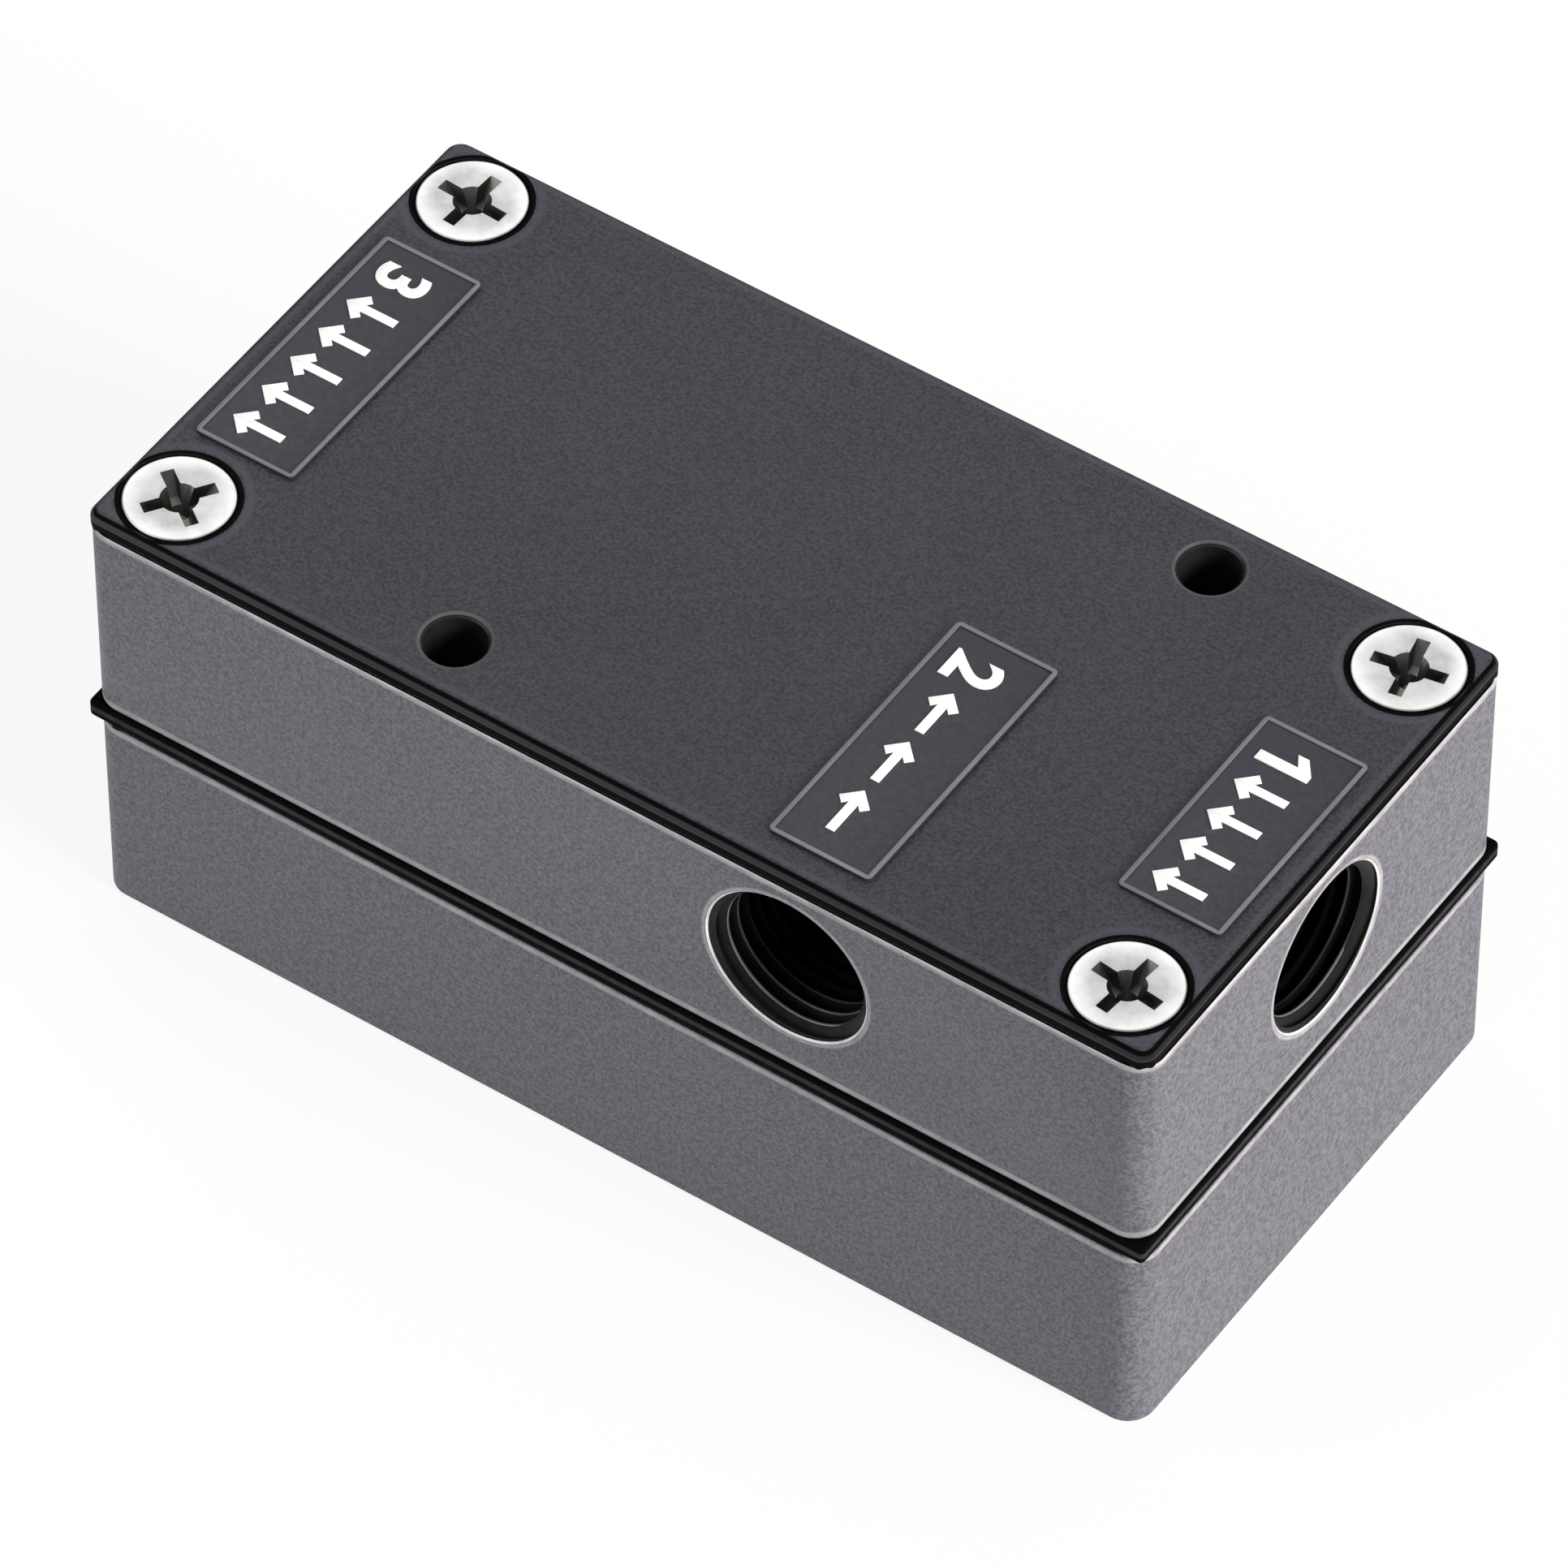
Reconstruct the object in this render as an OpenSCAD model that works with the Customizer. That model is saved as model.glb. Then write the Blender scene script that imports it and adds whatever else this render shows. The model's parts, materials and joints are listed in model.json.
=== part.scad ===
// Multi-stage vacuum ejector: two bolted blocks, a cover plate and a train of nozzles.
//
// Supply air enters the +X end, passes through the nozzles in line and leaves at the
// -X end. Each nozzle draws air out of the chamber it crosses. The first chamber opens
// straight to the vacuum port and to the reservoir in the lower block; the other two
// draw from that reservoir through flap valves.
// The origin is at the middle of the foot. +X is the supply end, -Y the vacuum port's face.

/* [Blocks] */
// Length of both blocks
body_length = 66; // [64:1:90]
// Width of both blocks, front to back
body_width = 33.4; // [32.4:0.2:46]
// Height of the lower block
lower_height = 13.6; // [12.6:0.2:24]
// Height of the upper block
upper_height = 13.3; // [13:0.1:18]
// Radius of the blocks' upright corners
corner_radius = 1.6; // [0.8:0.1:2.2]
// Bevel round the foot of the lower block
foot_bevel = 0.3; // [0.1:0.1:0.6]

/* [Cover plate] */
// Thickness of the cover plate
cover_thickness = 1.1; // [0.9:0.1:1.5]
// How far the cover plate stands back from the blocks' sides
cover_setback = 0.15; // [0:0.05:0.4]
// Radius of the cover plate's corners
cover_corner_radius = 0.9; // [0.7:0.1:1.6]
// Bevel along the cover plate's upper edge
cover_bevel = 0.4; // [0.1:0.05:0.5]

/* [Gaskets] */
// Thickness of the gasket between the blocks
gasket_thickness = 1.2; // [0.8:0.1:2]
// How far that gasket stands out past the blocks' sides
gasket_overhang = 0.1; // [0:0.05:0.3]
// Radius of that gasket's corners
gasket_corner_radius = 0.3; // [0.2:0.1:1.5]
// Thickness of the gasket let in under the cover plate
cover_gasket_thickness = 0.5; // [0.3:0.1:0.8]

/* [Ports] */
// Radius of the ports at the root of their thread
port_radius = 4.86; // [4:0.02:5.1]
// Radius of the plain hole behind each thread
port_core_radius = 4.2; // [3.9:0.1:4.3]
// Bevel at each port's mouth
port_chamfer = 0.1; // [0.05:0.05:0.4]
// Depth of thread in the supply and outlet ports
end_thread_depth = 7.5; // [5:0.5:8]
// Depth of the plain pocket behind those threads
end_pocket_depth = 1.5; // [1.3:0.1:2]
// Depth of thread in the vacuum port
vacuum_thread_depth = 6.5; // [5:0.25:6.5]
// Height of the ports' axes above the upper block's underside
port_height = 7.4; // [6.6:0.1:7.6]
// Distance from the supply end to the vacuum port's axis
vacuum_port_inset = 21.8; // [20.5:0.1:22.5]

/* [Chambers] */
// Width of the chambers, front to back
chamber_width = 18; // [16:0.5:18.5]
// Length of the first chamber, which faces the vacuum port
first_chamber = 13; // [12.5:0.25:14]
// Radius in the corners of the chambers
chamber_radius = 1.5; // [0.5:0.25:2]
// Thickness of the wall that holds the supply nozzle
supply_wall = 5.5; // [4.5:0.25:6]
// Thickness of the walls between chambers
stage_wall = 3; // [2.5:0.25:3.5]
// Thickness of the wall that holds the outlet diffuser
outlet_wall = 4.5; // [3.5:0.25:5]
// Thickness of the floor under the reservoir
reservoir_floor = 3.4; // [2.5:0.1:5]
// Width of the ledge under the valve plate and the cover gasket
ledge = 1.2; // [0.8:0.1:1.3]

/* [Nozzles] */
// Radius of the bore that seats each nozzle, from the supply end
seat_radii = [3, 2.6, 3.1, 3.7]; // [2.5:0.1:4]
// Radius of each nozzle at its inlet
inlet_radii = [1.8, 1.7, 2.2, 2.7]; // [1.5:0.1:3]
// Radius of each nozzle at its throat
throat_radii = [0.5, 0.85, 1.3, 1.8]; // [0.3:0.05:2]
// Radius of each nozzle at its outlet
outlet_radii = [0.7, 1.15, 1.65, 2.4]; // [0.6:0.05:2.5]
// Wall of the nozzles at their tips
tip_wall = 0.5; // [0.3:0.1:0.7]
// How far each nozzle's flange stands out past its seat
flange_lip = 0.7; // [0.4:0.1:0.9]
// Thickness of the flanges
flange_thickness = 1.2; // [0.8:0.1:1.3]
// Length of the rounded inlet in front of each flange
nose_length = 1.8; // [1.2:0.1:2.2]
// Gap from one nozzle's tip to the next one's inlet
suction_gap = 2.5; // [1.5:0.1:3]
// Clearance of a nozzle's body in its seat
nozzle_fit = 0.05; // [0.02:0.01:0.1]
// Bevel from each nozzle's body down to its tip
tail_shoulder = 0.5; // [0.2:0.1:0.6]
// Thickness of the O-rings' section
o_ring_section = 1; // [0.8:0.1:1.1]
// Slack that keeps each O-ring off its groove and seat
o_ring_slack = 0.01; // [0.01:0.01:0.03]
// Room on each side of an O-ring in its groove
o_ring_room = 0.1; // [0.05:0.05:0.2]

/* [Valves] */
// Thickness of the valve plate
valve_plate_thickness = 0.8; // [0.6:0.1:1.2]
// Radius of the ports through the valve plate
valve_port_radius = 1.5; // [1:0.1:1.8]
// Distance between those ports
valve_port_pitch = 4; // [3.8:0.1:4.2]
// Thickness of the rubber flaps
flap_thickness = 0.7; // [0.5:0.1:0.8]
// Clearance all round each flap in its chamber
flap_margin = 0.8; // [0.5:0.1:1]
// Radius of the rivets that hold the flaps
rivet_radius = 0.7; // [0.5:0.05:0.8]
// Radius of the rivets' heads
rivet_head_radius = 1.3; // [1.1:0.1:1.5]
// Thickness of the rivets' heads
rivet_head_thickness = 0.4; // [0.3:0.1:0.6]
// Distance from a rivet's head to the end of its flap
rivet_end_margin = 0.3; // [0.1:0.1:0.5]
// Distance from a rivet's head to the nearest port
rivet_port_margin = 0.8; // [0.5:0.1:1]
// Radius of the flaps' corners
flap_radius = 1.5; // [0.5:0.25:2]

/* [Screws] */
// Distance from the blocks' sides to each cover screw
screw_inset = 3.7; // [3.4:0.1:4]
// Radius of the screws' shanks
screw_radius = 1.5; // [1.25:0.05:1.6]
// Radius of the screws' heads
screw_head_radius = 3; // [2.8:0.05:3.1]
// Height of the plain rim round each screw's head
screw_rim = 0.15; // [0.1:0.05:0.3]
// Depth of screw thread in the lower block
screw_grip = 9.3; // [7:0.1:9.4]
// Gap round a screw's head in its countersink
head_gap = 0.15; // [0.05:0.05:0.2]
// Clearance round a screw in a plain hole
screw_clearance = 0.2; // [0.1:0.05:0.3]
// Clearance round a screw in its tapped hole
thread_clearance = 0.05; // [0.02:0.01:0.1]
// Depth of each tapped hole past its screw's tip
tap_overrun = 1; // [0.5:0.1:1.5]
// Bevel round the screws' tips
screw_tip_bevel = 0.3; // [0.1:0.1:0.5]
// Half the width across each cross recess
recess_reach = 1.95; // [1.6:0.05:2.1]
// Width of the arms of each cross recess
recess_width = 0.75; // [0.6:0.05:0.9]
// Depth of each cross recess
recess_depth = 1.1; // [0.8:0.1:1.2]
// Turn of each screw: front left, front right, back left, back right
screw_turns = [55, 84, 87, 11]; // [0:1:89]

/* [Mounting holes] */
// Radius of the two mounting holes
mount_radius = 1.7; // [1.5:0.05:2]
// Bevel at each end of the mounting holes
mount_chamfer = 0.2; // [0.1:0.05:0.3]
// Distance from the blocks' long sides to each mounting hole
mount_inset = 3.7; // [3.4:0.1:3.9]
// Distance from the outlet end to the front mounting hole
front_mount_inset = 21.2; // [18:0.1:23]
// Distance from the supply end to the back mounting hole
back_mount_inset = 15.8; // [13:0.1:18]

/* [Label plates] */
// Thickness of the label plates
label_thickness = 0.25; // [0.15:0.05:0.4]
// Width of the label plates
label_width = 6.2; // [5:0.1:7]
// Width of the rim round each label plate
label_rim = 0.25; // [0.2:0.05:0.5]
// Height of that rim above the plate's field
label_rim_height = 0.1; // [0.05:0.05:0.2]
// Radius of the label plates' corners
label_radius = 0.3; // [0.1:0.1:0.8]
// Distance from each end to the middle of the outlet and supply labels
label_inset = 4.7; // [4:0.1:6]
// Lengths of the outlet, vacuum and supply labels
label_lengths = [17, 17.2, 13.8]; // [10:0.2:18]
// How far the outlet label stands from the middle towards the front
outlet_label_shift = 0.3; // [0:0.1:1.5]
// How far the supply label stands from the middle towards the front
supply_label_shift = 0.9; // [0:0.1:1.5]
// Distance from the front face to the near end of the vacuum label
vacuum_label_setback = 2; // [1.5:0.1:4]
// How far the vacuum label stands towards the supply end from its port
vacuum_label_shift = 0.6; // [0:0.1:1]

/* [Hidden] */
$fn = 48;

// Overrun of a cut past the face that it opens
cut = 0.5;
body_size = [body_length, body_width];
cover_size = body_size - 2 * cover_setback * [1, 1];
gasket_size = body_size + 2 * gasket_overhang * [1, 1];

// Levels, from the foot up
gasket_z = lower_height;
upper_z = gasket_z + gasket_thickness;
cover_z = upper_z + upper_height;
top_z = cover_z + cover_thickness;
axis_z = upper_z + port_height;

// Stages along X. Seat i holds nozzle i, and chamber i lies behind it.
supply_face = body_length / 2;
outlet_face = -body_length / 2;
end_depth = end_thread_depth + end_pocket_depth;
seat_walls = [supply_wall, stage_wall, stage_wall, outlet_wall];
function total(list, i = 0) = i == len(list) ? 0 : list[i] + total(list, i + 1);
// The second and third chambers share the length that the rest leaves
stage_chamber = (body_length - 2 * end_depth - total(seat_walls) - first_chamber) / 2;
chamber_lengths = [first_chamber, stage_chamber, stage_chamber];
function seat_start(i) = i == 0 ? supply_face - end_depth : chamber_end(i - 1);
function chamber_start(i) = seat_start(i) - seat_walls[i];
function chamber_end(i) = chamber_start(i) - chamber_lengths[i];
reservoir_start = chamber_start(0);
reservoir_end = chamber_end(2);

vacuum_port_x = supply_face - vacuum_port_inset;
front_y = -body_width / 2;
screw_places = [for (y = [-1, 1], x = [-1, 1])
    [x * (body_length / 2 - screw_inset), y * (body_width / 2 - screw_inset)]];
mount_places = [
    [outlet_face + front_mount_inset, front_y + mount_inset],
    [supply_face - back_mount_inset, -front_y - mount_inset]
];

// Flaps lie front to back over a row of three ports and are riveted at the back
flap_length = chamber_width - 2 * flap_margin;
rivet_y = flap_length / 2 - rivet_head_radius - rivet_end_margin;
valve_port_middle = rivet_y - rivet_head_radius - rivet_port_margin - valve_port_radius
    - valve_port_pitch;
function chamber_middle(i) = (chamber_start(i) + chamber_end(i)) / 2;

// A screw's cone starts below its rim and narrows at 45 degrees to the shank
cone_top = top_z - screw_rim;
screw_tip = lower_height - screw_grip;

block_colour = [0.45, 0.44, 0.46];
dark_colour = [0.22, 0.22, 0.24];
rubber_colour = [0.08, 0.08, 0.09];
acetal_colour = [0.12, 0.12, 0.13];
steel_colour = [0.85, 0.85, 0.86];

// ---------- shared shapes ----------

module rounded_rectangle(size, radius) {
    square([size.x - 2 * radius, size.y], center = true);
    square([size.x, size.y - 2 * radius], center = true);
    for (x = [-1, 1], y = [-1, 1])
        translate([x * (size.x / 2 - radius), y * (size.y / 2 - radius)]) circle(r = radius);
}

module slab(size, radius, thickness) {
    linear_extrude(thickness) rounded_rectangle(size, radius);
}

// Takes a 45 degree bevel off the upper edge of a slab whose top is at z = 0
module edge_bevel(size, radius, bevel) {
    over = 0.2;
    section = [[-bevel - over, over], [over, -bevel - over], [over, over]];
    for (side = [0, 1, 2, 3]) {
        reach = side % 2 == 0 ? size.x / 2 : size.y / 2;
        run = side % 2 == 0 ? size.y : size.x;
        rotate([0, 0, 90 * side]) translate([reach, run / 2, 0]) rotate([90, 0, 0])
            linear_extrude(run) polygon(section);
    }
    for (quarter = [0, 1, 2, 3]) {
        x = quarter == 0 || quarter == 3 ? 1 : -1;
        y = quarter < 2 ? 1 : -1;
        translate([x * (size.x / 2 - radius), y * (size.y / 2 - radius), 0])
            rotate([0, 0, 90 * quarter]) rotate_extrude(angle = 90)
                polygon([for (p = section) [max(p.x + radius, 0), p.y]]);
    }
}

// The space of chamber i, from z = 0 up
module chamber_space(i, height) {
    translate([chamber_middle(i), 0, 0])
        slab([chamber_lengths[i], chamber_width], chamber_radius, height);
}

// The outline over all three chambers, with a ledge round it, from z = 0 up
module ledge_space(height) {
    translate([(reservoir_start + reservoir_end) / 2, 0, 0])
        slab([reservoir_start - reservoir_end + 2 * ledge, chamber_width + 2 * ledge],
            chamber_radius + ledge, height);
}

// A port cut into +Z from its mouth at z = 0: bevel, thread stretch, plain hole
module port_cut(thread_depth, depth) {
    cylinder(r = port_radius, h = thread_depth);
    cylinder(r = port_core_radius, h = depth);
    translate([0, 0, -cut])
        cylinder(r1 = port_radius + port_chamfer + cut, r2 = port_radius,
            h = port_chamfer + cut);
}

module mount_holes(low, high) {
    for (p = mount_places) translate([p.x, p.y, low - cut])
        cylinder(r = mount_radius, h = high - low + 2 * cut);
}

module screw_holes(low, high, clearance) {
    for (p = screw_places) translate([p.x, p.y, low - cut])
        cylinder(r = screw_radius + clearance, h = high - low + 2 * cut);
}

// The cone under a screw's head, widened by a gap, up past the cover's face
module countersinks(gap) {
    for (p = screw_places) translate([p.x, p.y, 0]) {
        translate([0, 0, cone_top - screw_head_radius + screw_radius])
            cylinder(r1 = screw_radius + gap, r2 = screw_head_radius + gap,
                h = screw_head_radius - screw_radius);
        translate([0, 0, cone_top])
            cylinder(r = screw_head_radius + gap, h = screw_rim + cut);
    }
}

// ---------- lower block and valves ----------

module lower_block() {
    color(block_colour)
    difference() {
        slab(body_size, corner_radius, lower_height);
        mirror([0, 0, 1]) edge_bevel(body_size, corner_radius, foot_bevel);
        translate([0, 0, lower_height - valve_plate_thickness])
            ledge_space(valve_plate_thickness + cut);
        translate([(reservoir_start + reservoir_end) / 2, 0, reservoir_floor])
            slab([reservoir_start - reservoir_end, chamber_width], chamber_radius,
                lower_height);
        mount_holes(0, lower_height);
        for (p = mount_places) translate([p.x, p.y, -cut])
            cylinder(r1 = mount_radius + mount_chamfer + cut, r2 = mount_radius,
                h = mount_chamfer + cut);
        for (p = screw_places) translate([p.x, p.y, screw_tip - tap_overrun])
            cylinder(r = screw_radius + thread_clearance, h = lower_height);
    }
}

module valve_plate() {
    window = [first_chamber - 2 * flap_margin, chamber_width - 2 * flap_margin];
    color(steel_colour)
    translate([0, 0, lower_height - valve_plate_thickness])
    difference() {
        ledge_space(valve_plate_thickness);
        translate([chamber_middle(0), 0, -cut])
            slab(window, flap_radius, valve_plate_thickness + 2 * cut);
        for (i = [1, 2]) translate([chamber_middle(i), 0, -cut]) {
            for (k = [-1, 0, 1]) translate([0, valve_port_middle + k * valve_port_pitch, 0])
                cylinder(r = valve_port_radius, h = valve_plate_thickness + 2 * cut);
            translate([0, rivet_y, 0])
                cylinder(r = rivet_radius, h = valve_plate_thickness + 2 * cut);
        }
    }
}

module flap_valve(i) {
    color(rubber_colour)
    translate([chamber_middle(i), 0, gasket_z])
    difference() {
        slab([chamber_lengths[i] - 2 * flap_margin, flap_length], flap_radius,
            flap_thickness);
        translate([0, rivet_y, -cut]) cylinder(r = rivet_radius, h = flap_thickness + 2 * cut);
    }
}

module flap_rivets() {
    stack = valve_plate_thickness + flap_thickness;
    color(steel_colour)
    for (i = [1, 2])
        translate([chamber_middle(i), rivet_y, gasket_z - valve_plate_thickness]) {
            cylinder(r = rivet_radius, h = stack);
            translate([0, 0, stack]) cylinder(r = rivet_head_radius, h = rivet_head_thickness);
            mirror([0, 0, 1]) cylinder(r = rivet_head_radius, h = rivet_head_thickness);
        }
}

module block_gasket() {
    color(rubber_colour)
    difference() {
        translate([0, 0, gasket_z]) slab(gasket_size, gasket_corner_radius, gasket_thickness);
        for (i = [0, 1, 2]) translate([0, 0, gasket_z - cut])
            chamber_space(i, gasket_thickness + 2 * cut);
        mount_holes(gasket_z, upper_z);
        screw_holes(gasket_z, upper_z, screw_clearance);
    }
}

// ---------- upper block and cover ----------

module upper_block() {
    color(block_colour)
    difference() {
        translate([0, 0, upper_z]) slab(body_size, corner_radius, upper_height);
        for (i = [0, 1, 2]) translate([0, 0, upper_z - cut])
            chamber_space(i, upper_height + 2 * cut);
        translate([0, 0, cover_z - cover_gasket_thickness])
            ledge_space(cover_gasket_thickness + cut);
        translate([supply_face, 0, axis_z]) rotate([0, -90, 0])
            port_cut(end_thread_depth, end_depth);
        translate([outlet_face, 0, axis_z]) rotate([0, 90, 0])
            port_cut(end_thread_depth, end_depth);
        translate([vacuum_port_x, front_y, axis_z]) rotate([-90, 0, 0])
            port_cut(vacuum_thread_depth, (body_width - chamber_width) / 2 + cut);
        for (i = [0 : 3]) translate([seat_start(i) + cut, 0, axis_z]) rotate([0, -90, 0])
            cylinder(r = seat_radii[i], h = seat_walls[i] + 2 * cut);
        mount_holes(upper_z, cover_z);
        screw_holes(upper_z, cover_z, screw_clearance);
        countersinks(head_gap);
    }
}

module cover_gasket() {
    color(rubber_colour)
    translate([0, 0, cover_z - cover_gasket_thickness])
    difference() {
        ledge_space(cover_gasket_thickness);
        for (i = [0, 1, 2]) translate([0, 0, -cut])
            chamber_space(i, cover_gasket_thickness + 2 * cut);
    }
}

module cover_plate() {
    color(dark_colour)
    difference() {
        translate([0, 0, cover_z]) slab(cover_size, cover_corner_radius, cover_thickness);
        translate([0, 0, top_z]) edge_bevel(cover_size, cover_corner_radius, cover_bevel);
        mount_holes(cover_z, top_z);
        for (p = mount_places) translate([p.x, p.y, top_z - mount_chamfer])
            cylinder(r1 = mount_radius, r2 = mount_radius + mount_chamfer + cut,
                h = mount_chamfer + cut);
        countersinks(0);
        for (p = screw_places) translate([p.x, p.y, cone_top])
            cylinder(r = screw_head_radius + head_gap, h = screw_rim + cut);
    }
}

// A countersunk screw with its cross recess, standing on its tip at the origin
module cover_screw(length) {
    neck = length - screw_rim - screw_head_radius + screw_radius;
    difference() {
        rotate_extrude() polygon([
            [0, 0], [screw_radius - screw_tip_bevel, 0], [screw_radius, screw_tip_bevel],
            [screw_radius, neck],
            [screw_head_radius, length - screw_rim], [screw_head_radius, length], [0, length]
        ]);
        for (turn = [0, 90]) rotate([0, 0, turn]) translate([0, recess_width / 2, length])
            rotate([90, 0, 0]) linear_extrude(recess_width) polygon([
                [-recess_reach, cut], [-recess_reach, 0], [-recess_reach / 2, -recess_depth],
                [recess_reach / 2, -recess_depth], [recess_reach, 0], [recess_reach, cut]
            ]);
    }
}

module cover_screws() {
    color(steel_colour)
    for (k = [0 : 3])
        translate([screw_places[k].x, screw_places[k].y, screw_tip])
            rotate([0, 0, screw_turns[k]]) cover_screw(top_z - screw_tip);
}

// ---------- nozzle train ----------

// Nozzle i, its inlet at z = 0 and the flow along +Z, made as one turned profile
module nozzle(i) {
    nose = i == 0 ? 0 : nose_length;
    seat = nose + flange_thickness;
    body_end = seat + seat_walls[i];
    tail = i == 3 ? 0
        : chamber_lengths[i] - suction_gap - flange_thickness - nose_length;
    length = body_end + tail;
    throat = i == 0 ? body_end : seat;
    body_radius = seat_radii[i] - nozzle_fit;
    flange_radius = seat_radii[i] + flange_lip;
    groove_middle = seat + seat_walls[i] / 2;
    groove_half = o_ring_section / 2 + o_ring_room;
    groove_radius = seat_radii[i] - o_ring_section;
    tip_radius = outlet_radii[i] + tip_wall;
    bell = inlet_radii[i] - throat_radii[i];
    outer = concat(
        nose > 0 ? [[inlet_radii[i] + tip_wall, 0], [inlet_radii[i] + tip_wall, nose]] : [],
        [[flange_radius, nose], [flange_radius, seat], [body_radius, seat],
         [body_radius, groove_middle - groove_half], [groove_radius, groove_middle - groove_half],
         [groove_radius, groove_middle + groove_half], [body_radius, groove_middle + groove_half],
         [body_radius, body_end]],
        tail > 0 ? [[tip_radius + tail_shoulder, body_end + tail_shoulder],
                    [tip_radius, length]] : []
    );
    // A straight cone feeds the supply nozzle's throat, and a bell the others'
    inlet = i == 0 ? [[inlet_radii[i], flange_thickness], [inlet_radii[i], 0]]
        : [for (a = [75 : -15 : 0])
            [inlet_radii[i] - bell * sin(a), throat * (1 - cos(a))]];
    inner = concat([[outlet_radii[i], length], [throat_radii[i], throat]], inlet);
    rotate_extrude() polygon(concat(outer, inner));
}

module place_on_seat(i) {
    nose = i == 0 ? 0 : nose_length;
    translate([seat_start(i) + flange_thickness + nose, 0, axis_z]) rotate([0, -90, 0])
        children();
}

module supply_nozzle() {
    color(acetal_colour) place_on_seat(0) nozzle(0);
}

module second_nozzle() {
    color(acetal_colour) place_on_seat(1) nozzle(1);
}

module third_nozzle() {
    color(acetal_colour) place_on_seat(2) nozzle(2);
}

module outlet_diffuser() {
    color(acetal_colour) place_on_seat(3) nozzle(3);
}

module nozzle_o_ring(i) {
    color(rubber_colour)
    translate([(seat_start(i) + chamber_start(i)) / 2, 0, axis_z]) rotate([0, 90, 0])
        rotate_extrude() translate([seat_radii[i] - o_ring_section / 2, 0])
            circle(r = o_ring_section / 2 - o_ring_slack);
}

// ---------- label plates ----------

// A thin plate with a raised rim, its long axis front to back
module label_plate(length) {
    size = [label_width, length];
    field = size - 2 * label_rim * [1, 1];
    color(dark_colour)
    translate([0, 0, top_z])
    difference() {
        slab(size, label_radius, label_thickness);
        translate([0, 0, label_thickness - label_rim_height])
            linear_extrude(label_rim_height + cut) square(field, center = true);
    }
}

module outlet_label() {
    translate([outlet_face + label_inset, -outlet_label_shift, 0]) label_plate(label_lengths[0]);
}

module vacuum_label() {
    translate([vacuum_port_x + vacuum_label_shift,
        front_y + vacuum_label_setback + label_lengths[1] / 2, 0])
        label_plate(label_lengths[1]);
}

module supply_label() {
    translate([supply_face - label_inset, -supply_label_shift, 0]) label_plate(label_lengths[2]);
}

lower_block();
valve_plate();
flap_valve(1);  // flap_valve_1
flap_valve(2);  // flap_valve_2
flap_rivets();
block_gasket();
upper_block();
supply_nozzle();
second_nozzle();
third_nozzle();
outlet_diffuser();
nozzle_o_ring(0);  // nozzle_o_ring_1
nozzle_o_ring(1);  // nozzle_o_ring_2
nozzle_o_ring(2);  // nozzle_o_ring_3
nozzle_o_ring(3);  // nozzle_o_ring_4
cover_gasket();
cover_plate();
cover_screws();
outlet_label();
vacuum_label();
supply_label();
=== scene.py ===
"""Vacuum ejector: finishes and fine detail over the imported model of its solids.

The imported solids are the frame. Blocks, cover plate and gasket are copied from it with
softened edges. The ports get their threads, the cover screws are modelled in full, and
the label plates get plain port numbers and flow arrows.
"""

import json
import math

import bmesh
import bpy
from mathutils import Matrix, Vector


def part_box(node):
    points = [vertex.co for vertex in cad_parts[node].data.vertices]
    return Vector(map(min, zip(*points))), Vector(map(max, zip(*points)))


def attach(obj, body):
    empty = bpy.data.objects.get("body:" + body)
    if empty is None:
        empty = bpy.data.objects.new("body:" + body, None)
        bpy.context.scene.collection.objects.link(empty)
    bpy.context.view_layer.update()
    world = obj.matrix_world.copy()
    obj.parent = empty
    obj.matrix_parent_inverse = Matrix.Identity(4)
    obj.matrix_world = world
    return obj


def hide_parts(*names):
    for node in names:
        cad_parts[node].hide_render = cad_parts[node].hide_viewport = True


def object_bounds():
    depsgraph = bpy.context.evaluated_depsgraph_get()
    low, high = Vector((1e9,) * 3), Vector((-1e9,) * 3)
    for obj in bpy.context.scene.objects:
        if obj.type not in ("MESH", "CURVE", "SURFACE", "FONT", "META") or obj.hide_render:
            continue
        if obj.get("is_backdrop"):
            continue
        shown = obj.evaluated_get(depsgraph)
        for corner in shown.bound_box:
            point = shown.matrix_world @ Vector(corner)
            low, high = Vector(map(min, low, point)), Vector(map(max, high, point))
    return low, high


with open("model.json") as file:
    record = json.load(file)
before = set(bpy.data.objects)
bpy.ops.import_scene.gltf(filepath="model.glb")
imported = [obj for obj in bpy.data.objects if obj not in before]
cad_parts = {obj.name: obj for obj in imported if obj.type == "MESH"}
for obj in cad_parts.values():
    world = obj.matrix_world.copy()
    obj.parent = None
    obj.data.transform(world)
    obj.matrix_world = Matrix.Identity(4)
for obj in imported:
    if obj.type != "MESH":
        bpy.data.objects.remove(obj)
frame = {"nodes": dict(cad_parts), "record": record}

bl_info = {
    "name": "Vacuum Ejector",
    "version": (1, 0, 0),
    "blender": (4, 5, 0),
    "location": "3D View > Sidebar > Ejector",
    "description": "Builds the finishes and fine detail of a vacuum ejector",
    "category": "Object",
}

MM = 0.001
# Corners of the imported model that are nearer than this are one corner
WELD = 0.001 * MM
# Edges of a finished piece that are shorter than this are closed up
SLIVER = 4 * WELD
# Neighbouring faces that turn by less than this are one flat face
FLAT = math.radians(0.5)
# Edges that turn by more than this stay sharp in shading
CREASE = math.radians(32)
# Edges that turn by more than these are the outline's, and those of a bevel
CORNER = math.radians(50)
BEVELLED = math.radians(30)
# How far a point may lie from the outline and still be on it
NEAR = 0.02 * MM
# How far a point may lie from a hole's wall or mouth and still be on it
TOUCH = 0.005 * MM
# Half the angle between the pipe thread's flanks
PIPE_FLANK = math.radians(27.5)
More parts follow.
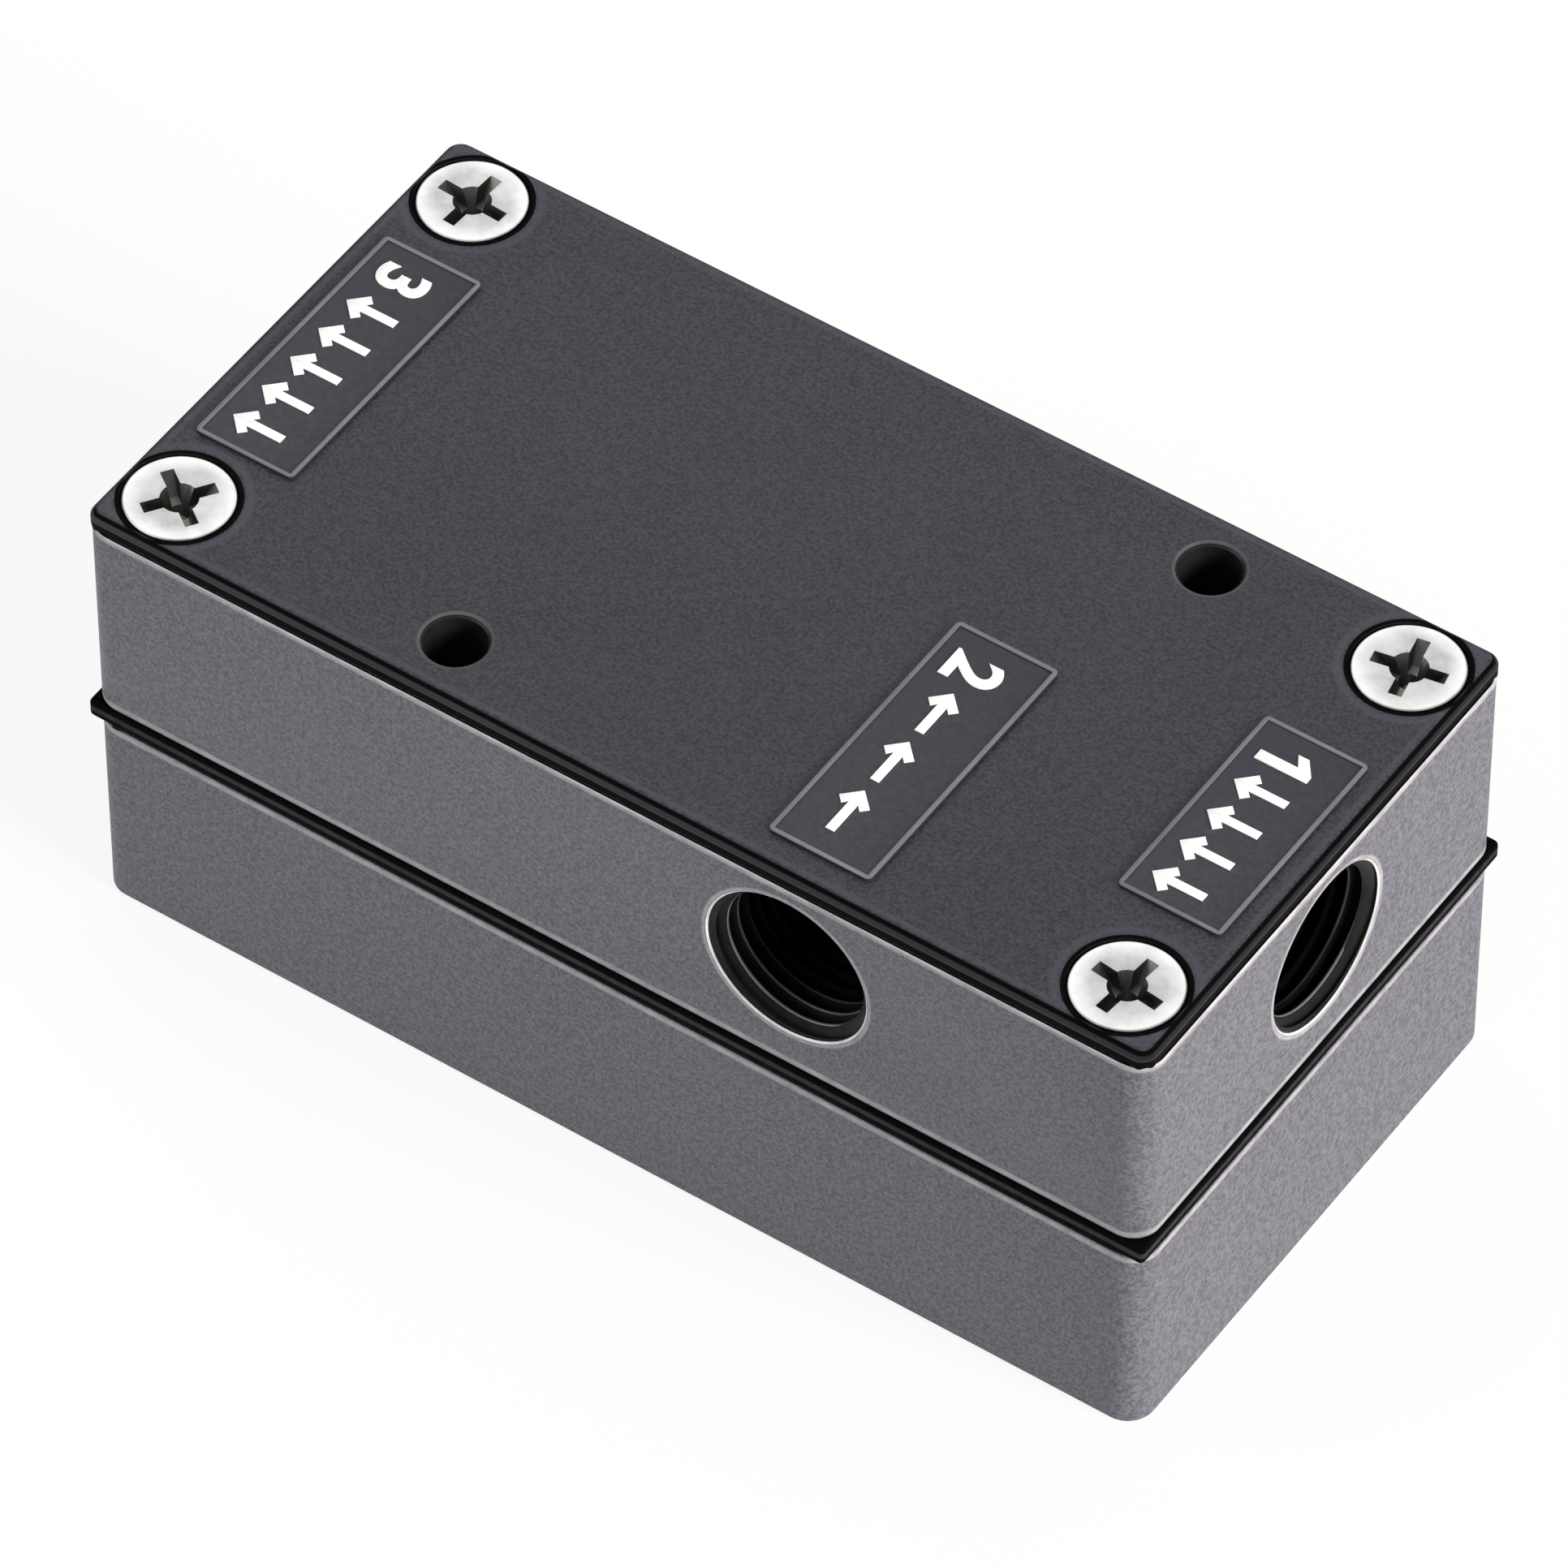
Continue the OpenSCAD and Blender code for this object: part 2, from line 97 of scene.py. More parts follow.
# How much of the light the painted black shade throws back
PAINTED_SHADE_SHINE = 0.02
FULL_TURN = 2 * math.pi

MOUNTS = {mount["name"]: mount for mount in frame["record"]["mounts"]}
PORTS = ("supply", "outlet", "vacuum")
PORT_RADIUS = MOUNTS["supply_port"]["dims"]["r_mm"] * MM
COVER_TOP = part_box("cover_plate")[1].z


# ---------- settings ----------

def length(name, description, millimetres):
    return bpy.props.FloatProperty(name=name, description=description,
                                   default=millimetres * MM, unit="LENGTH")


def colour(name, description, *tone):
    return bpy.props.FloatVectorProperty(name=name, description=description, default=tone,
                                         size=3, subtype="COLOR", min=0, max=1)


class EjectorSizes(bpy.types.PropertyGroup):
    """Sizes of what is modelled over the frame."""

    block_edge: length("Block edge", "Radius on the blocks' long edges", 0.22)
    block_corner: length("Block corner", "Radius of the blocks' upright corners", 1.6)
    cover_edge: length("Cover edge", "Radius on the edges of the cover's bevel", 0.09)
    cover_bevel: length("Cover bevel", "Width of the bevel along the cover's upper edge", 0.4)
    cover_foot: length("Cover foot", "Radius on the cover's lower edge", 0.16)
    mouth_edge: length("Mouth edge", "Radius round the ports' mouths", 0.06)
    mouth_bevel: length("Mouth bevel", "How far each port's bevel widens its mouth", 0.1)
    hole_edge: length("Hole edge", "Radius round the mounting holes' bevels", 0.1)
    hole_bevel: length("Hole bevel", "How far each mounting hole's bevel widens it", 0.2)
    gasket_edge: length("Gasket edge", "Radius on the gasket's squeezed edges", 0.28)
    label_edge: length("Label edge", "Radius on the label plates' edges", 0.03)
    thread_pitch: length("Thread pitch", "Pitch of the ports' pipe thread", 0.907)
    thread_depth: length("Thread depth", "Height of the pipe thread's ridge", 0.581)
    screw_head: length("Screw head", "Radius of the cover screws' heads", 3.0)
    screw_rim: length("Screw rim", "Height of the rim round each head", 0.15)
    screw_thread: length("Screw thread", "Radius over the screws' thread", 1.5)
    screw_pitch: length("Screw pitch", "Pitch of the screws' thread", 0.5)
    recess_reach: length("Recess reach", "Half the width across each recess", 2.05)
    recess_width: length("Recess width", "Width of the arms of each recess", 0.74)
    recess_depth: length("Recess depth", "Depth of each recess at its middle", 1.8)
    recess_floor: length("Recess floor", "Depth of the arms of each recess", 1.1)
    screw_turns: bpy.props.FloatVectorProperty(
        name="Screw turns", description="Turn of each screw, front left to back right",
        default=[math.radians(a) for a in (55, 84, 87, 11)], size=4, subtype="EULER")
    mark_height: length("Mark height", "Height of the figures and arrows", 3.1)
    mark_stroke: length("Mark stroke", "Width of the arrows' lines", 0.48)
    mark_rise: length("Mark rise", "How far the marks stand up", 0.08)
    mark_base: length("Mark base", "Distance from a label's edge to its marks", 1.05)


class EjectorColours(bpy.types.PropertyGroup):
    """Colours of the finishes."""

    block: colour("Block", "Grey coating of the two blocks", 0.104, 0.1015, 0.1215)
    cover: colour("Cover", "Charcoal coating of the cover", 0.0272, 0.0267, 0.0358)
    rubber: colour("Rubber", "Black rubber of the seals and flaps", 0.007, 0.007, 0.0075)
    acetal: colour("Acetal", "Black acetal of the nozzles", 0.014, 0.014, 0.0155)
    plating: colour("Plating", "Plating of the cover screws", 0.9, 0.895, 0.885)
    # Painted shade: the plating in the recesses is darkened
    recess: colour("Recess", "Dull plating with painted shade in the recesses", 0.2, 0.19, 0.18)
    # Edge wear and painted highlight: lighter on rounded edges, beside the seams and round the
    # ports
    worn: colour("Worn edge and painted highlight", "Coating rubbed thin on the edges", 0.42, 0.415, 0.43)
    # Painted shade: near black in the holes and round the screws
    bore: colour("Bore", "Painted near-black shade inside the holes", 0.012, 0.012, 0.013)
    cut_metal: colour("Cut metal", "Metal at the mouths of the ports", 0.75, 0.75, 0.75)
    steel: colour("Steel", "Steel of the valve plate and rivets", 0.56, 0.56, 0.57)
    # Painted shade: near black in the seams and grooves, round the screws and deep in the
    # ports
    grime: colour("Painted shade", "Black grime in the seams", 0.002, 0.002, 0.002)
    # Painted highlight on the crests of the first turns of the port threads
    crest: colour("Thread crest highlight", "Crests of the first turns", 0.24, 0.235, 0.23)
    # Painted highlight and wear: a lighter ring round the mounting holes
    hole_rim: colour("Hole rim highlight", "Coating rubbed thin round holes", 0.075, 0.074, 0.078)
    label_rim: colour("Label rim", "Raised rim of the label plates", 0.16, 0.16, 0.165)
    mark: colour("Mark", "White paint of the marks", 0.85, 0.85, 0.845)


def sizes():
    return bpy.context.scene.ejector_sizes


def colours():
    return bpy.context.scene.ejector_colours


# ---------- working on pieces ----------

def new_object(name, data):
    """An object of this data, linked to the scene."""
    piece = bpy.data.objects.new(name, data)
    bpy.context.scene.collection.objects.link(piece)
    return piece


def corners(piece):
    """The lowest and highest corner of the piece's box."""
    return Vector(piece.bound_box[0]), Vector(piece.bound_box[6])


def facing(way):
    """The turn that points +Z this way."""
    return way.to_track_quat("Z", "Y").to_matrix().to_4x4()


def activate(piece):
    """Leaves only this piece selected, and makes it the active one."""
    for other in list(bpy.context.selected_objects):
        other.select_set(False)
    piece.select_set(True)
    bpy.context.view_layer.objects.active = piece


def edit(piece, select="DESELECT", mode="EDGE"):
    """Opens the piece in edit mode, with nothing or all of it selected."""
    activate(piece)
    bpy.ops.object.mode_set(mode="EDIT")
    bpy.ops.mesh.select_mode(type=mode)
    bpy.ops.mesh.select_all(action=select)


def close():
    bpy.ops.object.mode_set(mode="OBJECT")


def seal(piece):
    """Welds the piece's doubles and turns its faces outwards."""
    edit(piece, "SELECT")
    bpy.ops.mesh.remove_doubles(threshold=WELD)
    bpy.ops.mesh.normals_make_consistent(inside=False)
    close()
    return piece


def bevel_edges(piece, radius, segments, test, clamp=False):
    """Rounds the edges whose middle and face angle pass the test."""
    edit(piece)
    shape = bmesh.from_edit_mesh(piece.data)
    for edge in shape.edges:
        if len(edge.link_faces) == 2:
            middle = (edge.verts[0].co + edge.verts[1].co) / 2
            edge.select_set(test(middle, edge.calc_face_angle(0)))
    bmesh.update_edit_mesh(piece.data)
    bpy.ops.mesh.bevel(offset=radius, offset_type="OFFSET", segments=segments,
                       affect="EDGES", clamp_overlap=clamp)
    close()


def apply_place(piece):
    """Puts the piece's place and turn into its mesh."""
    activate(piece)
    bpy.ops.object.transform_apply(location=True, rotation=True, scale=True)


def apply_modifier(piece, kind, **settings):
    activate(piece)
    bpy.ops.object.modifier_add(type=kind)
    modifier = piece.modifiers[-1]
    for key, value in settings.items():
        setattr(modifier, key, value)
    bpy.ops.object.modifier_apply(modifier=modifier.name)


def cut_away(piece, cutter):
    """Takes the cutter's shape out of the piece, and the cutter out of the scene."""
    apply_modifier(piece, "BOOLEAN", operation="DIFFERENCE", object=cutter, solver="EXACT",
                   material_mode="TRANSFER")
    bpy.data.objects.remove(cutter)


def join(pieces):
    """Joins the pieces into the first one."""
    activate(pieces[0])
    for piece in pieces:
        piece.select_set(True)
    bpy.ops.object.join()


def finish_piece(piece, name, slot, *nodes):
    """Cleans, names and seats a new piece, which may stand for nodes of the frame."""
    piece.name = name
    piece.data.name = name
    edit(piece, "SELECT")
    bpy.ops.mesh.dissolve_degenerate(threshold=SLIVER)
    close()
    bpy.ops.object.shade_smooth_by_angle(angle=CREASE)
    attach(piece, "root")
    if nodes:
        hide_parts(*nodes)
    return piece


def dress(piece, finish):
    """Gives the whole piece one finish."""
    piece.data.materials.clear()
    piece.data.materials.append(MATERIALS[finish])
    return piece


def dress_nodes(finish, *nodes):
    """Gives nodes of the frame one finish."""
    for node in nodes:
        dress(frame["nodes"][node], finish)


def dress_faces(piece, finish, test):
    """Gives another finish to the faces whose middle and normal pass the test."""
    edit(piece, mode="FACE")
    shape = bmesh.from_edit_mesh(piece.data)
    for face in shape.faces:
        face.select_set(test(face.calc_center_median(), face.normal))
    bmesh.update_edit_mesh(piece.data)
    if any(face.select for face in shape.faces):
        material = MATERIALS[finish]
        if material.name not in piece.data.materials:
            piece.data.materials.append(material)
        piece.active_material_index = piece.data.materials.find(material.name)
        bpy.ops.object.material_slot_assign()
    close()


def copy_of_node(node):
    """A closed copy of a node's mesh, with its flat faces whole."""
    piece = new_object(node + "_copy", frame["nodes"][node].data.copy())
    activate(piece)
    if piece.data.has_custom_normals:
        bpy.ops.mesh.customdata_custom_splitnormals_clear()
    edit(piece, "SELECT")
    bpy.ops.mesh.remove_doubles(threshold=WELD)
    bpy.ops.mesh.dissolve_limited(angle_limit=FLAT)
    close()
    return piece


def near_outline(point, low, high, inset, corner):
    """True within inset of the outline of a box with rounded upright corners."""
    aside = abs(point.x - (low.x + high.x) / 2) - (high.x - low.x) / 2
    along = abs(point.y - (low.y + high.y) / 2) - (high.y - low.y) / 2
    return aside > -inset or along > -inset or (aside > -corner and along > -corner)


def round_outline(piece, radius, inset, corner, least_angle, segments=3, base=-1):
    """Rounds the edges along the piece's outline that lie above the base."""
    low, high = corners(piece)
    bevel_edges(piece, radius, segments, lambda middle, angle: (
        angle > least_angle and middle.z > base
        and near_outline(middle, low, high, inset, corner)))


def outline_object(points, closed):
    """A mesh of one outline in the XZ plane, with no face."""
    count = len(points)
    edges = [(i, (i + 1) % count) for i in range(count if closed else count - 1)]
    mesh = bpy.data.meshes.new("outline")
    mesh.from_pydata([(x, 0, z) for x, z in points], edges, [])
    return new_object("outline", mesh)


def turned(points, steps):
    """A closed solid of revolution about Z from a profile that starts and ends on the axis."""
    piece = outline_object(points, closed=False)
    edit(piece, "SELECT")
    bpy.ops.mesh.spin(steps=steps, angle=FULL_TURN, center=(0, 0, 0), axis=(0, 0, 1))
    close()
    return seal(piece)


def helical_ridge(outline, pitch, turns, steps):
    """A right-hand ridge of one closed outline that climbs +Z, closed at both ends."""
    piece = outline_object(outline, closed=True)
    apply_modifier(piece, "SCREW", axis="Z", angle=FULL_TURN, screw_offset=pitch,
                   iterations=turns, steps=steps, render_steps=steps)
    edit(piece, "SELECT")
    bpy.ops.mesh.remove_doubles(threshold=WELD)
    bpy.ops.mesh.select_all(action="DESELECT")
    bpy.ops.mesh.select_non_manifold()
    bpy.ops.mesh.fill_holes(sides=0)
    close()
    return seal(piece)


# ---------- shader node groups ----------

def new_group(name, inputs, outputs):
    """A shader node group, with its float inputs and outputs as they are seen inside."""
    group = bpy.data.node_groups.new(name, "ShaderNodeTree")
    for label, default in inputs.items():
        group.interface.new_socket(
            label, in_out="INPUT", socket_type="NodeSocketFloat").default_value = default
    for label in outputs:
        group.interface.new_socket(label, in_out="OUTPUT", socket_type="NodeSocketFloat")
    nodes = group.nodes
    return group, nodes.new("NodeGroupInput").outputs, nodes.new("NodeGroupOutput").inputs


def feed(tree, value, socket):
    """Sets the socket to a number, or links it to another socket."""
    if isinstance(value, (int, float)):
        socket.default_value = value
    else:
        tree.links.new(value, socket)


def maths(tree, operation, first, second=0.0):
    """A Math node on two values, each a socket or a number."""
    node = tree.nodes.new("ShaderNodeMath")
    node.operation = operation
    feed(tree, first, node.inputs[0])
    feed(tree, second, node.inputs[1])
    return node.outputs[0]


def blend(tree, first, part, second):
    """This part of the first value, and the rest of the second."""
    return maths(tree, "ADD", maths(tree, "MULTIPLY", first, part),
                 maths(tree, "MULTIPLY", second, 1 - part))


def own_place(tree):
    """The object's own coordinates."""
    return tree.nodes.new("ShaderNodeTexCoord").outputs["Object"]


def own_axes(tree):
    """The object's own coordinates as three values."""
    split = tree.nodes.new("ShaderNodeSeparateXYZ")
    tree.links.new(own_place(tree), split.inputs[0])
    return split.outputs


def distance(tree, point):
    """How far the surface is from a point."""
    node = tree.nodes.new("ShaderNodeVectorMath")
    node.operation = "DISTANCE"
    node.inputs[1].default_value = point
    tree.links.new(own_place(tree), node.inputs[0])
    return node.outputs["Value"]


def noise(tree, scale, detail, roughness=0.5):
    node = tree.nodes.new("ShaderNodeTexNoise")
    tree.links.new(own_place(tree), node.inputs["Vector"])
    for label, value in (("Scale", scale), ("Detail", detail), ("Roughness", roughness)):
        feed(tree, value, node.inputs[label])
    return node.outputs[0]


def remap(tree, value, low, high, start=0.0, end=1.0):
    """The value carried from low..high to start..end, and held there outside."""
    node = tree.nodes.new("ShaderNodeMapRange")
    for socket, item in zip(node.inputs, (value, low, high, start, end)):
        feed(tree, item, socket)
    return node.outputs[0]


def band(tree, value, low, high, soft):
    """1 where the value lies between low and high, with soft ends."""
    return maths(tree, "SUBTRACT", remap(tree, value, low - soft, low + soft),
                 remap(tree, value, high - soft, high + soft))


def bands(tree, value, spans, soft):
    """1 where the value lies in any of the spans."""
    mask = band(tree, value, *spans[0], soft)
    for span in spans[1:]:
        mask = maths(tree, "ADD", mask, band(tree, value, *span, soft))
    return mask


def grain_group():
    """Grain of a sprayed surface: a height, and a speckle from 0 to 1."""
    group, given, made = new_group("Grain", {"Grains per metre": 3000.0},
                                   ["Height", "Speckle"])
    fine = noise(group, given[0], 1.0)
    coarse = noise(group, maths(group, "MULTIPLY", given[0], 0.45), 0.0)
    both = blend(group, fine, 0.8, coarse)
    group.links.new(both, made["Height"])
    group.links.new(remap(group, both, 0.36, 0.64), made["Speckle"])
    return group


def mottle_group():
    """Soft uneven patches, as handling and coating leave: a mask from 0 to 1."""
    group, given, made = new_group("Mottle", {"Patches per metre": 90.0}, ["Mask"])
    broad = noise(group, given[0], 3.0, 0.6)
    group.links.new(remap(group, broad, 0.35, 0.65), made["Mask"])
    return group


def inset(group, given, axis, half):
    """How far in from a half length the surface is, along one of its own axes."""
    return maths(group, "SUBTRACT", given[half],
                 maths(group, "ABSOLUTE", own_axes(group)[axis]))


def away_group():
    """Distance from the nearest cover screw's axis, from where the back right one stands."""
    group, given, made = new_group("Screw distance", {"Along": 0.03, "Across": 0.013},
                                   ["Distance"])
    along, across = inset(group, given, "X", "Along"), inset(group, given, "Y", "Across")
    squares = maths(group, "ADD", maths(group, "MULTIPLY", along, along),
                    maths(group, "MULTIPLY", across, across))
    group.links.new(maths(group, "SQRT", squares), made["Distance"])
    return group


def depth_group():
    """Depth in from the nearest side of a box that is centred on the origin."""
    group, given, made = new_group("Side depth", {
        "Half length": 0.033, "Half width": 0.0167, "Weight of ends": 1.0}, ["Depth"])
    ends = maths(group, "MULTIPLY", inset(group, given, "X", "Half length"),
                 given["Weight of ends"])
    sides = inset(group, given, "Y", "Half width")
    group.links.new(maths(group, "MINIMUM", ends, sides), made["Depth"])
    return group


def lathe_group():
    """Fine rings round X, as a turning tool leaves: a height."""
    group, given, made = new_group("Lathe marks", {"Rings per metre": 9000.0}, ["Height"])
    waver = noise(group, 1400.0, 2.0)
    rings = maths(group, "MULTIPLY", own_axes(group)["X"], given[0])
    wave = maths(group, "SINE", maths(group, "ADD", rings, waver))
    group.links.new(wave, made["Height"])
    return group


# ---------- materials ----------

GROUPS = {}
MATERIALS = {}


def shade(tone, level):
    return [level * part for part in tone]


class Finish:
    """A material with one Principled shader, and short ways to set and link it."""

    def __init__(self, name, base, roughness, metallic=0.0, specular=0.5):
        self.material = bpy.data.materials.new(name)
        self.material.use_nodes = True
        self.material.diffuse_color = (*base, 1)
        self.tree = self.material.node_tree
        self.link = self.tree.links.new
        self.sockets = self.tree.nodes["Principled BSDF"].inputs
        self.base = base
        for label, value in (("Base Color", (*base, 1)), ("Roughness", roughness),
                             ("Metallic", metallic), ("Specular IOR Level", specular)):
            self.sockets[label].default_value = value

    def effect(self, name, *values):
        """What a shared group puts out here, with its inputs set in order."""
        node = self.tree.nodes.new("ShaderNodeGroup")
        node.node_tree = GROUPS[name]
        for socket, value in zip(node.inputs, values):
            socket.default_value = value
        return node.outputs

    def tint(self, mask, low, high):
        """Colours the surface between two shades of its base by a mask."""
        self.colour(mask, shade(self.base, low), shade(self.base, high))

    def colour(self, mask, dark, light):
        """Colours the surface between two colours, or from what is there to one."""
        mix = self.tree.nodes.new("ShaderNodeMix")
        mix.data_type = "RGBA"
        self.link(mask, mix.inputs["Factor"])
        if dark is None:
            self.link(self.sockets["Base Color"].links[0].from_socket, mix.inputs["A"])
        else:
            mix.inputs["A"].default_value = (*dark, 1)
        mix.inputs["B"].default_value = (*light, 1)
        self.link(mix.outputs["Result"], self.sockets["Base Color"])

    def over(self, mask, tone):
        """Lays another colour over the surface by a mask."""
        self.colour(mask, None, tone)

    def lay_painted_shade(self, mask):
        """Lays painted black shade over the surface by a mask."""
        self.over(mask, colours().grime)
        gloss = self.sockets["Specular IOR Level"]
        self.link(remap(self.tree, mask, 0, 1, gloss.default_value, PAINTED_SHADE_SHINE), gloss)

    def rough(self, mask, low, high):
        self.link(remap(self.tree, mask, 0, 1, low, high), self.sockets["Roughness"])

    def bump(self, height, strength, distance):
        node = self.tree.nodes.new("ShaderNodeBump")
        node.inputs["Strength"].default_value = strength
        node.inputs["Distance"].default_value = distance
        self.link(height, node.inputs["Height"])
        self.link(node.outputs["Normal"], self.sockets["Normal"])


def coated_finish(name, base, grains, patches, slope, rough, contrast):
    """A sprayed coating: fine grain with small changes of shade and gloss."""
    finish = Finish(name, base, rough[0], specular=0.4)
    height, speckle = finish.effect("grain", grains)
    mask = finish.effect("mottle", patches)[0]
    finish.tint(blend(finish.tree, speckle, 0.82, mask), 1 - contrast, 1 + contrast)
    finish.rough(mask, *rough)
    finish.bump(height, 0.5, slope)
    return finish


def block_finish(tone):
    """The blocks' grey coating, lighter beside the seams and round the ports: edge wear and
    painted highlight.
    """
    finish = coated_finish("Block coating", tone.block, 5200.0, 80.0, 0.075 * MM,
                           (0.46, 0.6), 0.4)
    tree = finish.tree
    gasket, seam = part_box("block_gasket"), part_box("cover_plate")[0].z
    spans = [(gasket[0].z - 0.62 * MM, gasket[0].z - 0.24 * MM),
             (gasket[1].z + 0.2 * MM, gasket[1].z + 0.58 * MM), (seam - 0.3 * MM, seam)]
    # Painted highlight and wear: lighter bands beside the gasket and under the cover
    rubbed_and_lit = bands(tree, own_axes(tree)["Z"], spans, 0.07 * MM)
    # Painted highlight and wear: a lighter ring round each port's mouth
    for port in find_holes(PORTS):
        rim = band(tree, distance(tree, port.mouth), port.radius + 0.12 * MM,
                   port.radius + 0.34 * MM, 0.05 * MM)
        rubbed_and_lit = maths(tree, "MAXIMUM", rubbed_and_lit, rim)
    uneven = remap(tree, noise(tree, 900.0, 2.0), 0.3, 0.7, 0.34, 0.7)
    finish.over(maths(tree, "MULTIPLY", rubbed_and_lit, uneven), tone.worn)
    return finish.material


def cover_finish(tone):
    """The cover's charcoal coating, with painted shade on its thin side and painted black
    shade in the seams and round the screws.

    A painted highlight makes the coating a little lighter along the upper edge and round the
    screws.
    """
    finish = coated_finish("Cover coating", tone.cover, 5000.0, 110.0, 0.045 * MM,
                           (0.46, 0.58), 0.56)
    tree = finish.tree
    low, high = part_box("cover_plate")
    height, head = own_axes(tree)["Z"], sizes().screw_head
    away = finish.effect("away", *screw_places()[-1])[0]
    inwards = finish.effect("depth", high.x, high.y, 1.0)[0]
    # Painted highlight: lighter bands round the screws and just inside the upper edge
    painted_highlight = maths(tree, "MAXIMUM",
                    band(tree, away, head + 0.5 * MM, head + 0.9 * MM, 0.1 * MM),
                    band(tree, inwards, 0.5 * MM, 0.78 * MM, 0.06 * MM))
    finish.over(maths(tree, "MULTIPLY", painted_highlight, 0.5), shade(tone.cover, 2))
    # Painted shade: the thin side is darkened
    side = remap(tree, height, high.z - 0.04 * MM, high.z - 0.07 * MM)
    finish.over(side, shade(tone.cover, 0.3))
    # Painted shade: black rings round the screws, and lines along the bevel and the foot
    ring = remap(tree, away, head + 0.4 * MM, head + 0.34 * MM)
    lines = bands(tree, height, [(low.z - MM, low.z + 0.56 * MM),
                                 (high.z - 0.25 * MM, high.z - 0.06 * MM)], 0.03 * MM)
    finish.lay_painted_shade(maths(tree, "MAXIMUM", ring, lines))
    return finish.material


def rubber_finish(name, base):
    finish = Finish(name, base, 0.7, specular=0.15)
    height, speckle = finish.effect("grain", 2200.0)
    finish.tint(finish.effect("mottle", 260.0)[0], 0.75, 1.3)
    finish.rough(speckle, 0.6, 0.8)
    finish.bump(height, 0.25, 0.02 * MM)
    return finish


def gasket_finish(tone):
    """The gasket's rubber, lightened as a painted highlight, with painted black shade in the
    grooves above and below its edge.
    """
    # Painted highlight: this rubber is 2.4 times lighter than the other seals
    finish = rubber_finish("Gasket rubber with painted light and shade", shade(tone.rubber, 2.4))
    low, high = (corner.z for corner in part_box("block_gasket"))
    # Painted shade in the grooves at the gasket's edges
    finish.lay_painted_shade(bands(finish.tree, own_axes(finish.tree)["Z"], [
        (low - MM, low + 0.5 * MM), (high - 0.35 * MM, high + MM)], 0.04 * MM))
    return finish.material


def thread_finish(name, base, metallic=0.0):
    """Cut metal in the ports, with painted shade that fades it to black with depth, sooner in
    the end ports.
    """
    finish = Finish(name, base, 0.45, metallic=metallic, specular=0.1)
    finish.tint(finish.effect("mottle", 600.0)[0], 0.75, 1.15)
    high, weight_of_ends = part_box("upper_block")[1], 1.6
    depth = finish.effect("depth", high.x, high.y, weight_of_ends)[0]
    # Painted shade: darker with depth into the port
    finish.lay_painted_shade(remap(finish.tree, depth, 0.5 * MM, 2.9 * MM))
    return finish.material


def plated_finish(name, base):
    """Bright plating, clouded by handling, with a painted highlight round the heads' rims that
    darkens towards their middles.
    """
    finish = Finish(name, base, 0.3, metallic=1.0)
    mask = finish.effect("mottle", 520.0)[0]
    away = finish.effect("away", *screw_places()[-1])[0]
    # Painted highlight round the rims, painted shade towards the middle
    rim = remap(finish.tree, away, 1.9 * MM, 2.8 * MM)
    finish.tint(blend(finish.tree, mask, 0.5, rim), 0.5, 1.1)
    finish.rough(mask, 0.26, 0.42)
    finish.bump(finish.effect("grain", 4200.0)[0], 0.15, 0.015 * MM)
    return finish.material


def mottled_finish(name, base, roughness, metallic, specular, patches, shades, gloss):
    """A surface that is uneven in shade and gloss, in soft patches."""
    finish = Finish(name, base, roughness, metallic, specular)
    mask = finish.effect("mottle", patches)[0]
    finish.tint(mask, *shades)
    finish.rough(mask, *gloss)
    return finish


def tooled_finish(name, base, rough, metallic=0.0):
    """A plain mottled finish: metal as a cutter leaves it, coating rubbed down towards it, or
    painted shade and highlight.
    """
    return mottled_finish(name, base, rough, metallic, 0.25, 500.0, (0.75, 1.15),
                          (0.8 * rough, 1.2 * rough)).material


def rolled_finish(name, base):
    finish = Finish(name, base, 0.35, metallic=1.0)
    finish.tint(finish.effect("mottle", 300.0)[0], 0.9, 1.05)
    finish.rough(finish.effect("grain", 5000.0)["Speckle"], 0.28, 0.42)
    return finish.material


def acetal_finish(name, base):
    """Turned plastic with fine tool rings."""
    finish = mottled_finish(name, base, 0.4, 0.0, 0.4, 300.0, (0.85, 1.15), (0.35, 0.5))
    finish.bump(finish.effect("lathe", 42000.0)[0], 0.2, 0.01 * MM)
    return finish.material


def label_finish(name, base, rim):
    """The cover's charcoal on a plate whose raised rim is lighter."""
    finish = Finish(name, base, 0.5, specular=0.42)
    tree, rim_top = finish.tree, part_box("vacuum_label")[1].z
    height, speckle = finish.effect("grain", 3400.0)
    raised = remap(tree, own_axes(tree)["Z"], rim_top - 0.05 * MM, rim_top - 0.02 * MM)
    uneven = remap(tree, finish.effect("mottle", 160.0)[0], 0, 1, 0.7, 1)
    finish.colour(maths(tree, "MULTIPLY", raised, uneven), base, rim)
    finish.rough(speckle, 0.42, 0.58)
    finish.bump(height, 0.25, 0.015 * MM)
    return finish.material


def paint_finish(name, base):
    return mottled_finish(name, base, 0.45, 0.0, 0.4, 700.0, (0.93, 1.03),
                          (0.4, 0.55)).material


